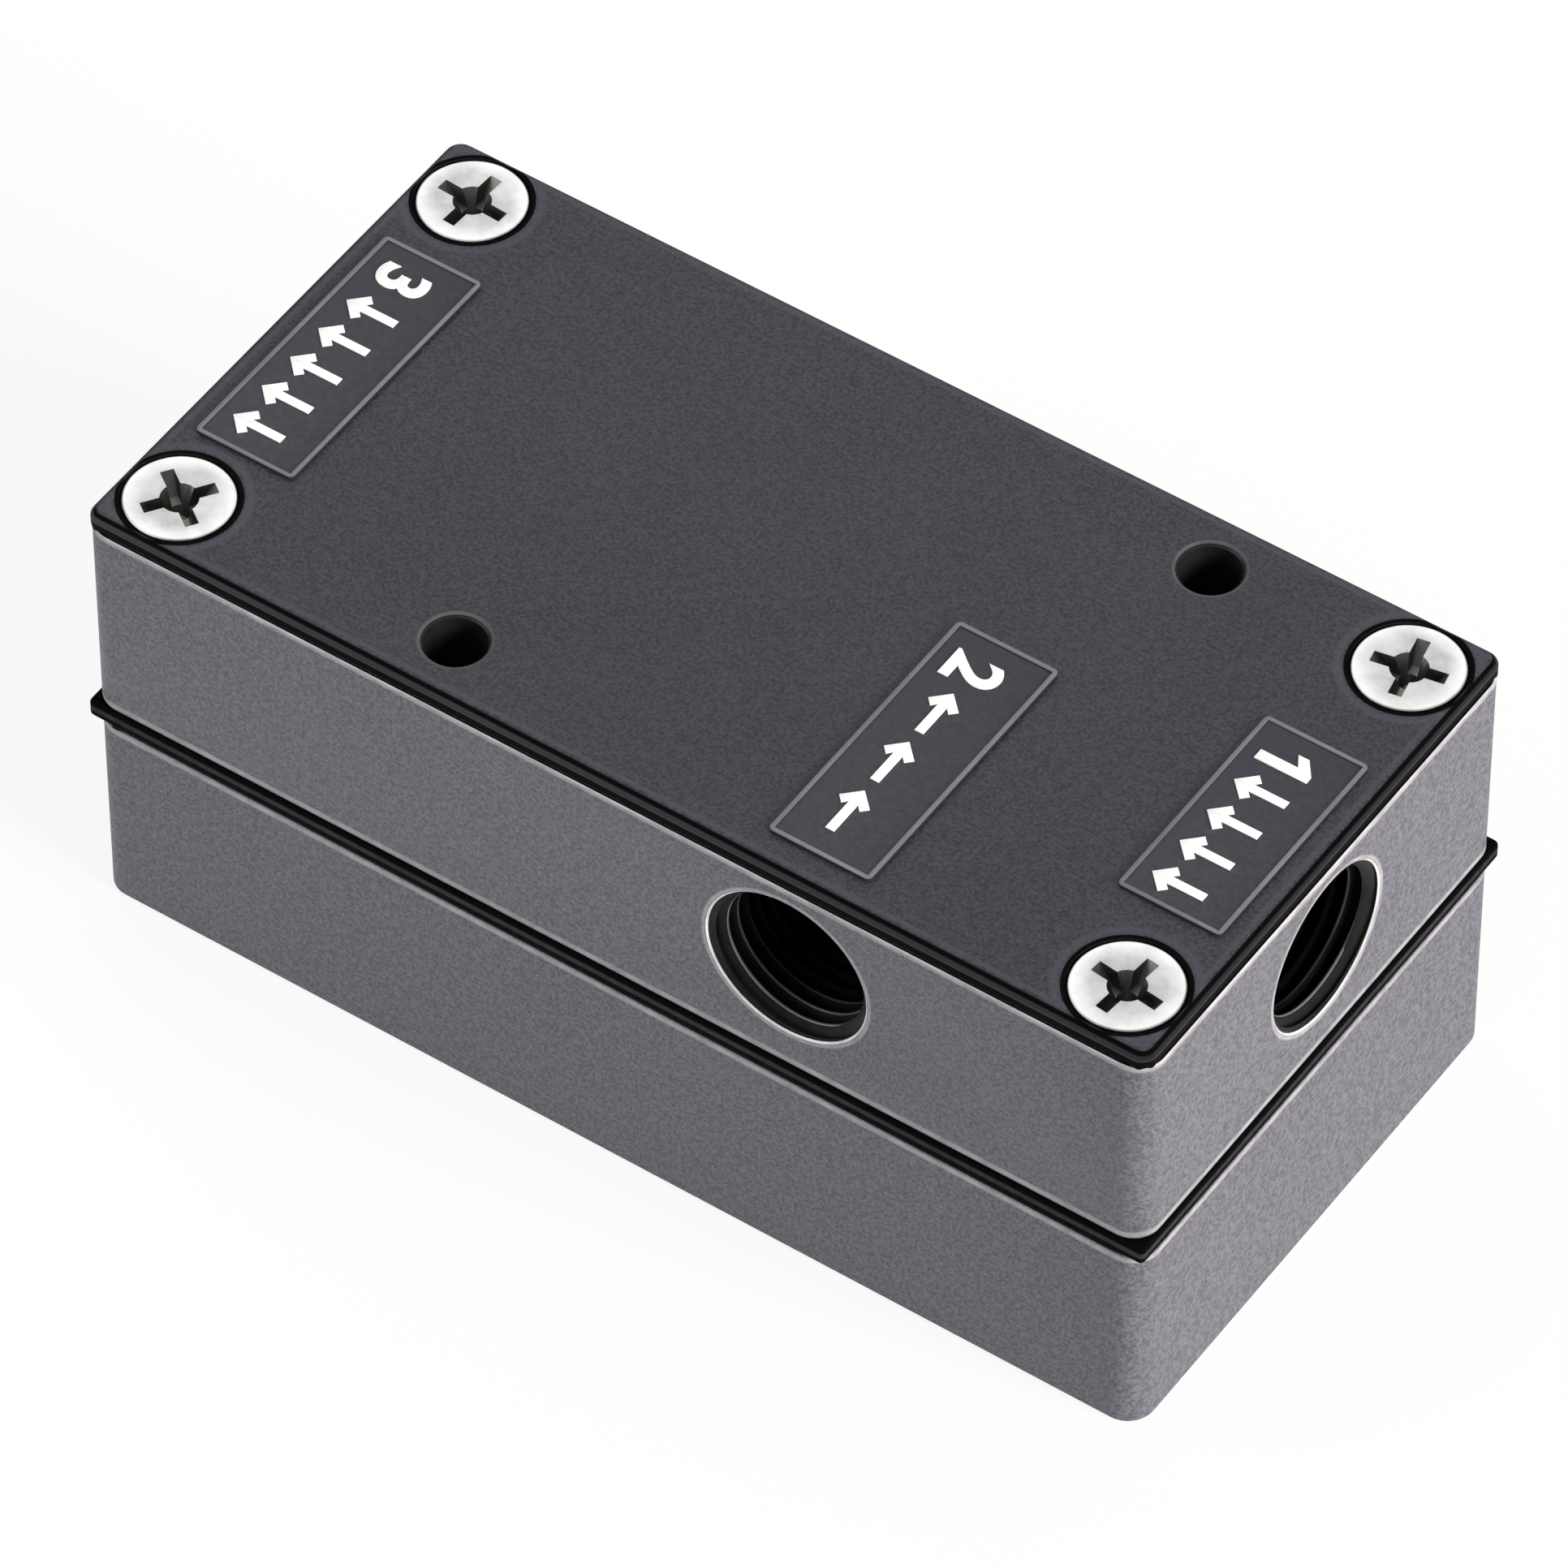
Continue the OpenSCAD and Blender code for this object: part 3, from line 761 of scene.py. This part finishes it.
def make_materials():
    """Every finish, by a short name."""
    tone = colours()
    GROUPS.update(grain=grain_group(), mottle=mottle_group(), lathe=lathe_group(),
                  away=away_group(), depth=depth_group())
    MATERIALS.update(
        block=block_finish(tone),
        cover=cover_finish(tone),
        gasket=gasket_finish(tone),
        rubber=rubber_finish("Black rubber", tone.rubber).material,
        # Painted shade: the port threads are near black
        thread=thread_finish("Port thread", tone.bore),
        # Painted highlight on the thread crests, fading to painted shade with depth
        crest=thread_finish("Thread crest highlight", tone.crest, metallic=0.3),
        plating=plated_finish("Bright plating", tone.plating),
        # Dull plating, darkened as painted shade in the recesses
        recess=tooled_finish("Dull plating with painted shade", tone.recess, 0.4, metallic=1.0),
        # Painted shade in the bores and round the screws
        bore=tooled_finish("Painted shade in bores", tone.bore, 0.4),
        cut_metal=tooled_finish("Cut metal", tone.cut_metal, 0.45, metallic=0.5),
        # Edge wear and painted highlight on the blocks' rounded edges
        worn=tooled_finish("Worn edge and painted highlight", tone.worn, 0.4),
        hole_rim=tooled_finish("Hole rim highlight", tone.hole_rim, 0.5),
        # Painted shade on the rounded edges in the seams
        grime=thread_finish("Seam grime", tone.grime),
        steel=rolled_finish("Rolled steel", tone.steel),
        acetal=acetal_finish("Turned acetal", tone.acetal),
        label=label_finish("Label plate", tone.cover, tone.label_rim),
        mark=paint_finish("White paint", tone.mark))


# ---------- blocks, cover and gaskets ----------

class Hole:
    """One of the record's holes: its mouth on the outside, its axis, radius and reach."""

    def __init__(self, mount, low, high):
        self.axis = Vector(mount["axis"])
        outside = high if max(self.axis) > 0.5 else low
        self.mouth = Vector([outside[i] if abs(self.axis[i]) > 0.5 else mount["pos_m"][i]
                             for i in range(3)])
        self.radius = mount["dims"]["r_mm"] * MM
        self.length = mount["dims"]["length_mm"] * MM

    def holds(self, point, room):
        """True below the mouth, to a little past the length, and within room of the bore."""
        depth = -(point - self.mouth).dot(self.axis)
        past_end = 4 * MM
        return 2 * TOUCH < depth < self.length + past_end and self.beside(point, room)

    def beside(self, point, room):
        """True for a point at any depth within room of the bore."""
        offset = point - self.mouth
        return (offset - self.axis * offset.dot(self.axis)).length < self.radius + room


def find_holes(prefixes):
    """The record's holes whose names start with one of the prefixes."""
    low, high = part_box("upper_block")
    low, high = Vector((low.x, low.y, 0)), Vector((high.x, high.y, COVER_TOP))
    return [Hole(mount, low, high) for name, mount in MOUNTS.items()
            if name.startswith(prefixes)]


def screw_places():
    """The middles of the cover screws, front left to back right."""
    low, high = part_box("cover_screws")
    reach = sizes().screw_head
    return [(x, y) for y in (low.y + reach, high.y - reach)
            for x in (low.x + reach, high.x - reach)]


def dress_holes(piece):
    """Darkens the piece's ports and holes with painted shade, and brightens the bevels at
    their mouths: cut metal at the ports, painted highlight and wear round the mounting holes.
    """
    size = sizes()
    ports, passages, screws = find_holes(PORTS), find_holes("mounting"), screw_places()
    reach = size.screw_head + 0.2 * MM
    # The rise of the normals on flat faces, and its least and most on a bevel's outer edge
    flat, least, most = 0.9, 0.75, 0.999

    def in_port(middle, normal):
        return any(port.holds(middle, TOUCH) for port in ports)

    # Painted shade: near black on the mounting holes' walls and bevels, and round the screws
    def dark(middle, normal):
        if abs(normal.z) > flat or in_port(middle, normal):
            return False
        if any(hole.holds(middle, size.hole_bevel) for hole in passages):
            return abs(normal.z) < least
        return any(math.hypot(middle.x - x, middle.y - y) < reach for x, y in screws)

    def bright(middle, normal):
        return (any(port.holds(middle, size.mouth_bevel + size.mouth_edge) for port in ports)
                and not in_port(middle, normal))

    # Painted highlight and wear on the outer edge of each mounting hole's bevel
    def rubbed_and_lit(middle, normal):
        return (least < abs(normal.z) < most
                and any(hole.beside(middle, size.hole_bevel + size.hole_edge)
                        for hole in passages))

    dress_faces(piece, "thread", in_port)
    dress_faces(piece, "bore", dark)
    dress_faces(piece, "cut_metal", bright)
    dress_faces(piece, "hole_rim", rubbed_and_lit)


def round_mouths(piece, holes, bevel, radius):
    """Rounds the outer edge of the bevel at each hole's mouth."""
    bevel_edges(piece, radius, 2, lambda middle, angle: (
        angle > BEVELLED
        and any(abs((middle - hole.mouth).dot(hole.axis)) < TOUCH
                and hole.beside(middle, bevel + 2 * TOUCH) for hole in holes)))


def worn_edges(piece):
    """Dresses the rounded edges: lighter with edge wear and painted highlight, or painted
    black shade in the seams.
    """
    low, high = corners(piece)
    radius, corner = sizes().block_edge, sizes().block_corner
    below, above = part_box("block_gasket")
    # The rise of the normals on a rounded edge, and on the part that a seam covers
    least, most, covered = 0.3, 0.97, 0.9

    # Edge wear and painted highlight on the rounded edges
    def highlit_edge(middle, normal):
        return (least < abs(normal.z) < most
                and near_outline(middle, low, high, radius, corner)
                and min(middle.z - low.z, high.z - middle.z) < radius)

    # Painted shade where the rounded edges meet the gasket and the cover
    def shaded_seam(middle, normal):
        return highlit_edge(middle, normal) and (
            normal.z > covered or below.z - radius < middle.z < above.z + radius)

    dress_faces(piece, "worn", highlit_edge)
    dress_faces(piece, "grime", shaded_seam)


class EJECTOR_OT_blocks(bpy.types.Operator):
    """Build the two blocks with softened edges."""

    bl_idname = "ejector.blocks"
    bl_label = "Blocks"

    def execute(self, context):
        size = sizes()
        for node in ("lower_block", "upper_block"):
            piece = dress(copy_of_node(node), "block")
            round_outline(piece, size.block_edge, NEAR, size.block_corner, CORNER)
            round_mouths(piece, find_holes(PORTS), size.mouth_bevel, size.mouth_edge)
            dress_holes(piece)
            worn_edges(piece)
            finish_piece(piece, node + "_coated", "block", node)
        return {"FINISHED"}


class EJECTOR_OT_cover_plate(bpy.types.Operator):
    """Build the cover plate, with the edges of its bevel and its foot rounded."""

    bl_idname = "ejector.cover_plate"
    bl_label = "Cover plate"

    def execute(self, context):
        size = sizes()
        piece = dress(copy_of_node("cover_plate"), "cover")
        low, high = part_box("cover_plate")
        reach = size.cover_bevel + NEAR
        round_outline(piece, size.cover_foot, NEAR, reach, CORNER)
        round_outline(piece, size.cover_edge, reach, 2 * reach, BEVELLED,
                      base=(low.z + high.z) / 2)
        round_mouths(piece, find_holes("mounting"), size.hole_bevel, size.hole_edge)
        dress_holes(piece)
        finish_piece(piece, "cover_plate_coated", "cover", "cover_plate")
        return {"FINISHED"}


class EJECTOR_OT_gaskets(bpy.types.Operator):
    """Build the gasket between the blocks, and finish the one under the cover."""

    bl_idname = "ejector.gaskets"
    bl_label = "Gaskets"

    def execute(self, context):
        piece = dress(copy_of_node("block_gasket"), "gasket")
        round_outline(piece, sizes().gasket_edge, NEAR, 0.4 * MM, CORNER, segments=4)
        finish_piece(piece, "block_gasket_pressed", "gasket_rubber", "block_gasket")
        dress_nodes("rubber", "cover_gasket")
        return {"FINISHED"}


# ---------- threads and screws ----------

def port_thread(name, hole):
    """The thread of one port, from its mouth to the depth that its bore has."""
    size = sizes()
    pitch, depth = size.thread_pitch, hole.length + size.mouth_bevel
    half = size.thread_depth * math.tan(PIPE_FLANK)
    flat = 0.16 * pitch / 2
    crest = PORT_RADIUS - size.thread_depth
    # The crest is a little rounded, and the root is let into the bore's wall
    seat, round_in, round_down = 0.02 * MM, 0.04 * MM, 0.02 * MM
    upper = [(crest, flat * 0.5), (crest + round_in, flat + round_down),
             (PORT_RADIUS, half + flat), (PORT_RADIUS + seat, half + flat)]
    outline = [(x, -z) for x, z in reversed(upper)] + upper
    turns = int(depth / pitch) + 1
    ridge = dress(helical_ridge(outline, pitch, turns, steps=72), "thread")
    crest_room, first_turn, lip = 0.07 * MM, 0.3 * pitch, 0.032 * MM
    # Painted highlight on the crests
    dress_faces(ridge, "crest", lambda middle, normal: (
        math.hypot(middle.x, middle.y) < crest + crest_room))
    ridge.location.z = -turns * pitch + first_turn
    apply_place(ridge)
    # The mouth's bevel thins the first turn, and the bottom is cut off square
    wide = PORT_RADIUS + size.mouth_bevel + lip
    above, below = 2 * MM, -depth - 3 * MM
    mouth = turned([(0, -wide), (wide + above, above), (0, above)], steps=96)
    cut_away(ridge, dress(mouth, "thread"))
    bottom = turned([(0, below), (2 * PORT_RADIUS, below), (2 * PORT_RADIUS, -depth),
                     (0, -depth)], steps=48)
    cut_away(ridge, dress(bottom, "thread"))
    ridge.matrix_world = Matrix.Translation(hole.mouth) @ facing(hole.axis)
    apply_place(ridge)
    return finish_piece(ridge, name + "_port_thread", "block")


class EJECTOR_OT_port_threads(bpy.types.Operator):
    """Cut the pipe threads of the three ports."""

    bl_idname = "ejector.port_threads"
    bl_label = "Port threads"

    def execute(self, context):
        for name in PORTS:
            port_thread(name, find_holes(name)[0])
        return {"FINISHED"}


def recess_arm(turn):
    """One bar of the cross recess, tapering down to its floor."""
    size = sizes()
    bpy.ops.mesh.primitive_cube_add(size=2, location=(0, 0, 0))
    arm = bpy.context.active_object
    arm.scale = (size.recess_reach, size.recess_width / 2, size.recess_floor)
    apply_place(arm)
    edit(arm, mode="VERT")
    # The floor's end is drawn in, and the other end is spread as much
    for side, along, across in ((-1, 0.56, 0.72), (1, 1.44, 1.28)):
        for corner in bmesh.from_edit_mesh(arm.data).verts:
            corner.select_set(corner.co.z * side > 0)
        bmesh.update_edit_mesh(arm.data)
        bpy.ops.transform.resize(value=(along, across, 1))
    close()
    arm.rotation_euler.z = turn
    apply_place(arm)
    return dress(arm, "recess")


def cover_screw(long):
    """A countersunk cross-recess screw, its head's face at z = 0."""
    size = sizes()
    head, rim = size.screw_head, size.screw_rim
    thread, pitch = size.screw_thread, size.screw_pitch
    core = thread - 0.61 * pitch
    neck = -rim - (head - thread)
    screw = dress(turned([
        (0, -long), (core - 0.3 * MM, -long), (core, -long + 0.3 * MM),
        (core, neck - 1.0 * MM), (thread - 0.06 * MM, neck - 0.5 * MM),
        (thread - 0.04 * MM, neck), (head - 0.03 * MM, -rim), (head, -rim + 0.03 * MM),
        (head, -0.1 * MM), (head - 0.03 * MM, -0.04 * MM), (head - 0.08 * MM, -0.01 * MM),
        (head - 0.14 * MM, 0), (0, 0)], steps=96), "plating")
    half, tip = 0.46 * pitch, 0.08 * pitch
    root, crest = core - 0.05 * MM, thread - 0.02 * MM
    outline = [(root, -half), (crest, -tip), (crest, tip), (root, half)]
    start, run_out = 0.5 * MM, 1.6 * MM
    turns = int((long + neck - run_out) / pitch)
    ridge = dress(helical_ridge(outline, pitch, turns, steps=24), "plating")
    ridge.location.z = -long + start
    apply_place(ridge)
    deep = -size.recess_depth
    pocket = turned([(0, deep), (0.3 * MM, deep + 0.15 * MM), (0.7 * MM, -0.8 * MM),
                     (1.04 * MM, 0), (1.19 * MM, 0.3 * MM), (0, 0.3 * MM)], steps=32)
    for turn in (0, math.pi / 2):
        cut_away(screw, recess_arm(turn))
    cut_away(screw, dress(pocket, "recess"))
    softened, least_turn = 0.05 * MM, math.radians(40)
    reach = size.recess_reach + 2 * softened
    bevel_edges(screw, softened, 2, lambda middle, angle: (
        abs(middle.z) < WELD and angle > least_turn
        and math.hypot(middle.x, middle.y) < reach), clamp=True)
    join([screw, ridge])
    return screw


class EJECTOR_OT_cover_screws(bpy.types.Operator):
    """Build the four cover screws, with their cross recesses and threads."""

    bl_idname = "ejector.cover_screws"
    bl_label = "Cover screws"

    def execute(self, context):
        low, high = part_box("cover_screws")
        pattern = cover_screw(high.z - low.z)
        for number, (x, y) in enumerate(screw_places()):
            screw = new_object("screw", pattern.data.copy())
            screw.location = (x, y, high.z)
            screw.rotation_euler.z = sizes().screw_turns[number]
            apply_place(screw)
            finish_piece(screw, f"cover_screw_{number + 1}", "screw_plate", "cover_screws")
        bpy.data.objects.remove(pattern)
        return {"FINISHED"}


# ---------- labels ----------

def raised(name, data, rise):
    """A flat text or curve made a raised mesh that stands on z = 0."""
    soft, seat = 0.03 * MM, 0.01 * MM
    data.extrude = (rise + seat) / 2 - soft
    data.bevel_depth = soft
    data.bevel_resolution = 1
    piece = new_object(name, data)
    piece.location.z = (rise - seat) / 2
    activate(piece)
    bpy.ops.object.convert(target="MESH")
    return bpy.context.active_object


def flat_shape(points, rise):
    """A low raised shape from a closed outline, with its upper edge softened."""
    curve = bpy.data.curves.new("shape", "CURVE")
    curve.dimensions = "2D"
    curve.fill_mode = "BOTH"
    line = curve.splines.new("POLY")
    line.points.add(len(points) - 1)
    for point, (x, y) in zip(line.points, points):
        point.co = (x, y, 0, 1)
    line.use_cyclic_u = True
    return raised("shape", curve, rise)


def figure_one(height, rise):
    """The figure 1, which the plain font draws as a bare bar."""
    bar, flag = 0.2 * height, 0.24 * height
    return flat_shape([(flag, 0), (flag + bar, 0), (flag + bar, height),
                       (flag + 0.3 * bar, height), (0, height - flag * 0.95),
                       (0, height - flag * 1.75), (flag, height - flag * 1.15)], rise)


def figure(text, height, rise):
    """A plain figure, its lower left corner at the origin."""
    if text == "1":
        return figure_one(height, rise)
    letters = bpy.data.curves.new("figure", "FONT")
    letters.body = text
    # A figure of the plain font is about 0.73 of its size high
    letters.size = height / 0.73
    letters.offset = 0.09 * MM
    piece = raised("figure", letters, rise)
    low, high = corners(piece)
    grow = height / (high.y - low.y)
    piece.scale = (grow, grow, 1)
    piece.location.x, piece.location.y = -low.x * grow, -low.y * grow
    apply_place(piece)
    return piece


def arrow(turn):
    """A thin arrow along +X, as long as the marks are high, turned about its middle."""
    size = sizes()
    stroke, reach = size.mark_stroke, size.mark_height / 2
    side = 0.29 * size.mark_height
    half, slant = stroke / 2, stroke / math.sqrt(2)
    lower = [(-reach, -half), (reach - 2 * slant - half, -half),
             (reach - side - slant, slant - side), (reach - side, -side)]
    upper = [(x, -y) for x, y in reversed(lower)]
    piece = flat_shape(lower + [(reach, 0)] + upper, size.mark_rise)
    piece.rotation_euler.z = turn
    apply_place(piece)
    return piece


def label_marks(name, text, arrows, turn, start, gap, pitch):
    """A port's figure and a row of flow arrows, joined and laid on its plate."""
    size = sizes()
    low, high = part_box(name + "_label")
    marks = figure(text, size.mark_height, size.mark_rise)
    marks.location.x = start
    parts = [marks]
    for number in range(arrows):
        part = arrow(turn)
        part.location = (start + gap + number * pitch, size.mark_height / 2, 0)
        parts.append(part)
    join(parts)
    apply_place(marks)
    # The row reads towards -Y, and its tops face +X
    marks.rotation_euler.z = -math.pi / 2
    rim_rise = 0.1 * MM
    marks.location = (low.x + size.mark_base, high.y, high.z - rim_rise)
    apply_place(marks)
    finish_piece(dress(seal(marks), "mark"), name + "_label_marks", "label")


class EJECTOR_OT_labels(bpy.types.Operator):
    """Build the three label plates with their figures and flow arrows."""

    bl_idname = "ejector.labels"
    bl_label = "Labels"

    def execute(self, context):
        for name in PORTS:
            piece = dress(copy_of_node(name + "_label"), "label")
            bevel_edges(piece, sizes().label_edge, 2,
                        lambda middle, angle: angle > CORNER, clamp=True)
            finish_piece(piece, name + "_label_plate", "label", name + "_label")
        inwards, down = math.pi, -math.pi / 2
        label_marks("outlet", "3", 5, down, start=1.4 * MM, gap=3.6 * MM, pitch=2.5 * MM)
        label_marks("vacuum", "2", 3, inwards, start=1.5 * MM, gap=4.4 * MM, pitch=4 * MM)
        label_marks("supply", "1", 4, down, start=1.4 * MM, gap=3.2 * MM, pitch=2.5 * MM)
        return {"FINISHED"}


# ---------- what is inside ----------

class EJECTOR_OT_nozzle_train(bpy.types.Operator):
    """Finish the nozzles and their O-rings."""

    bl_idname = "ejector.nozzle_train"
    bl_label = "Nozzle train"

    def execute(self, context):
        dress_nodes("acetal", "supply_nozzle", "second_nozzle", "third_nozzle",
                    "outlet_diffuser")
        dress_nodes("rubber", *(f"nozzle_o_ring_{number}" for number in (1, 2, 3, 4)))
        return {"FINISHED"}


class EJECTOR_OT_valves(bpy.types.Operator):
    """Finish the valve plate, its flaps and their rivets."""

    bl_idname = "ejector.valves"
    bl_label = "Valves"

    def execute(self, context):
        dress_nodes("steel", "valve_plate", "flap_rivets")
        dress_nodes("rubber", "flap_valve_1", "flap_valve_2")
        return {"FINISHED"}


# ---------- stage ----------

def direction(azimuth, elevation):
    """The way out from the part, in degrees round from the front and up."""
    a, e = math.radians(azimuth), math.radians(elevation)
    return Vector((math.sin(a) * math.cos(e), -math.cos(a) * math.cos(e), math.sin(e)))


def place_camera():
    """A long lens from the front right, high above."""
    azimuth, elevation = 34.552, 48.254
    aside, lift, away = -0.3385 * MM, 9.097 * MM, 668.1 * MM
    back = direction(azimuth, elevation)
    right = Vector((math.cos(math.radians(azimuth)), math.sin(math.radians(azimuth)), 0))
    up = back.cross(right)
    data = bpy.data.cameras.new("Camera")
    data.lens, data.sensor_width = 289.65, 36
    data.clip_start, data.clip_end = 0.05, 20
    camera = new_object("Camera", data)
    turn = Matrix((right, up, back)).transposed().to_4x4()
    camera.matrix_world = Matrix.Translation(right * aside + up * lift + back * away) @ turn
    bpy.context.scene.camera = camera


def softbox(name, azimuth, elevation, away, size, level, tone=(1, 1, 1)):
    """An area light aimed at the part. Level 1 lights a facing surface as it is coloured."""
    data = bpy.data.lights.new(name, "AREA")
    data.shape = "DISK"
    data.size = size
    data.energy = level * math.pi ** 2 * away ** 2
    data.color = tone
    lamp = new_object(name, data)
    back = direction(azimuth, elevation)
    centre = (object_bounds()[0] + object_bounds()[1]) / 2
    lamp.matrix_world = Matrix.Translation(centre + back * away) @ facing(back)
    return lamp


def light_world(ambient, mirrored):
    """White behind the part, softer as light, and dim in reflections."""
    world = bpy.data.worlds.new("Studio")
    world.use_nodes = True
    bpy.context.scene.world = world
    tree = world.node_tree
    path = tree.nodes.new("ShaderNodeLightPath")
    seen = remap(tree, path.outputs["Is Camera Ray"], 0, 1, ambient, 1.0)
    glossy = maths(tree, "MULTIPLY", path.outputs["Is Glossy Ray"], mirrored - ambient)
    background = tree.nodes["Background"]
    background.inputs["Color"].default_value = (1, 1, 1, 1)
    tree.links.new(maths(tree, "ADD", seen, glossy), background.inputs["Strength"])


def mix_shaders(tree, mask, first, second):
    mix = tree.nodes.new("ShaderNodeMixShader")
    for socket, output in zip(mix.inputs, (mask, first, second)):
        tree.links.new(output, socket)
    return mix.outputs[0]


def floor_material():
    """Pale floor that looks white from above and keeps a soft shadow, clear from below."""
    floor = Finish("Studio floor", (0.8, 0.8, 0.8), 0.9, specular=0.1)
    tree = floor.tree
    path = tree.nodes.new("ShaderNodeLightPath").outputs
    seen = maths(tree, "MAXIMUM", path["Is Camera Ray"], path["Is Glossy Ray"])
    seen = maths(tree, "MAXIMUM", seen, path["Is Transmission Ray"])
    glow = tree.nodes.new("ShaderNodeEmission")
    pale = mix_shaders(tree, remap(tree, seen, 0, 1, 0, 0.86),
                       tree.nodes["Principled BSDF"].outputs[0], glow.outputs[0])
    clear = tree.nodes.new("ShaderNodeBsdfTransparent")
    side = tree.nodes.new("ShaderNodeNewGeometry")
    both = mix_shaders(tree, side.outputs["Backfacing"], pale, clear.outputs[0])
    tree.links.new(both, tree.nodes["Material Output"].inputs["Surface"])
    return floor.material


class EJECTOR_OT_stage(bpy.types.Operator):
    """Set the floor, the lights and the camera."""

    bl_idname = "ejector.stage"
    bl_label = "Stage"

    def execute(self, context):
        bpy.ops.mesh.primitive_circle_add(vertices=96, radius=6, fill_type="NGON")
        floor = context.active_object
        floor.name = "studio_floor"
        floor.data.materials.append(floor_material())
        floor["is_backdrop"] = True
        light_world(ambient=0.38, mirrored=0.4)
        # The key's mirror image would blow out the cover from the outlet's end
        softbox("Key", 88, 24, away=1.1, size=0.5, level=1.8,
                tone=(1, 0.95, 0.9)).visible_glossy = False
        softbox("Fill", -48, 30, away=0.22, size=0.18, level=0.31, tone=(0.96, 0.98, 1))
        softbox("Back", 214.5, 48, away=0.8, size=0.9, level=0.27)
        place_camera()
        context.scene.view_settings.view_transform = "Standard"
        return {"FINISHED"}


# ---------- panel and registration ----------

PIECES = (EJECTOR_OT_blocks, EJECTOR_OT_cover_plate, EJECTOR_OT_gaskets,
          EJECTOR_OT_port_threads, EJECTOR_OT_cover_screws, EJECTOR_OT_labels,
          EJECTOR_OT_nozzle_train, EJECTOR_OT_valves, EJECTOR_OT_stage)


class EJECTOR_PT_panel(bpy.types.Panel):
    """Lists the steps that build the ejector."""

    bl_idname = "EJECTOR_PT_panel"
    bl_label = "Vacuum Ejector"
    bl_space_type = "VIEW_3D"
    bl_region_type = "UI"
    bl_category = "Ejector"

    def draw(self, context):
        for piece in PIECES:
            self.layout.operator(piece.bl_idname)


CLASSES = (EjectorSizes, EjectorColours, *PIECES, EJECTOR_PT_panel)


def register():
    for item in CLASSES:
        bpy.utils.register_class(item)
    bpy.types.Scene.ejector_sizes = bpy.props.PointerProperty(type=EjectorSizes)
    bpy.types.Scene.ejector_colours = bpy.props.PointerProperty(type=EjectorColours)


def unregister():
    del bpy.types.Scene.ejector_colours
    del bpy.types.Scene.ejector_sizes
    for item in reversed(CLASSES):
        bpy.utils.unregister_class(item)


def main():
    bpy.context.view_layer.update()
    register()
    make_materials()
    bpy.ops.ejector.blocks()
    bpy.ops.ejector.cover_plate()
    bpy.ops.ejector.gaskets()
    bpy.ops.ejector.port_threads()
    bpy.ops.ejector.cover_screws()
    bpy.ops.ejector.labels()
    bpy.ops.ejector.nozzle_train()
    bpy.ops.ejector.valves()
    bpy.ops.ejector.stage()


if __name__ == "__main__":
    main()
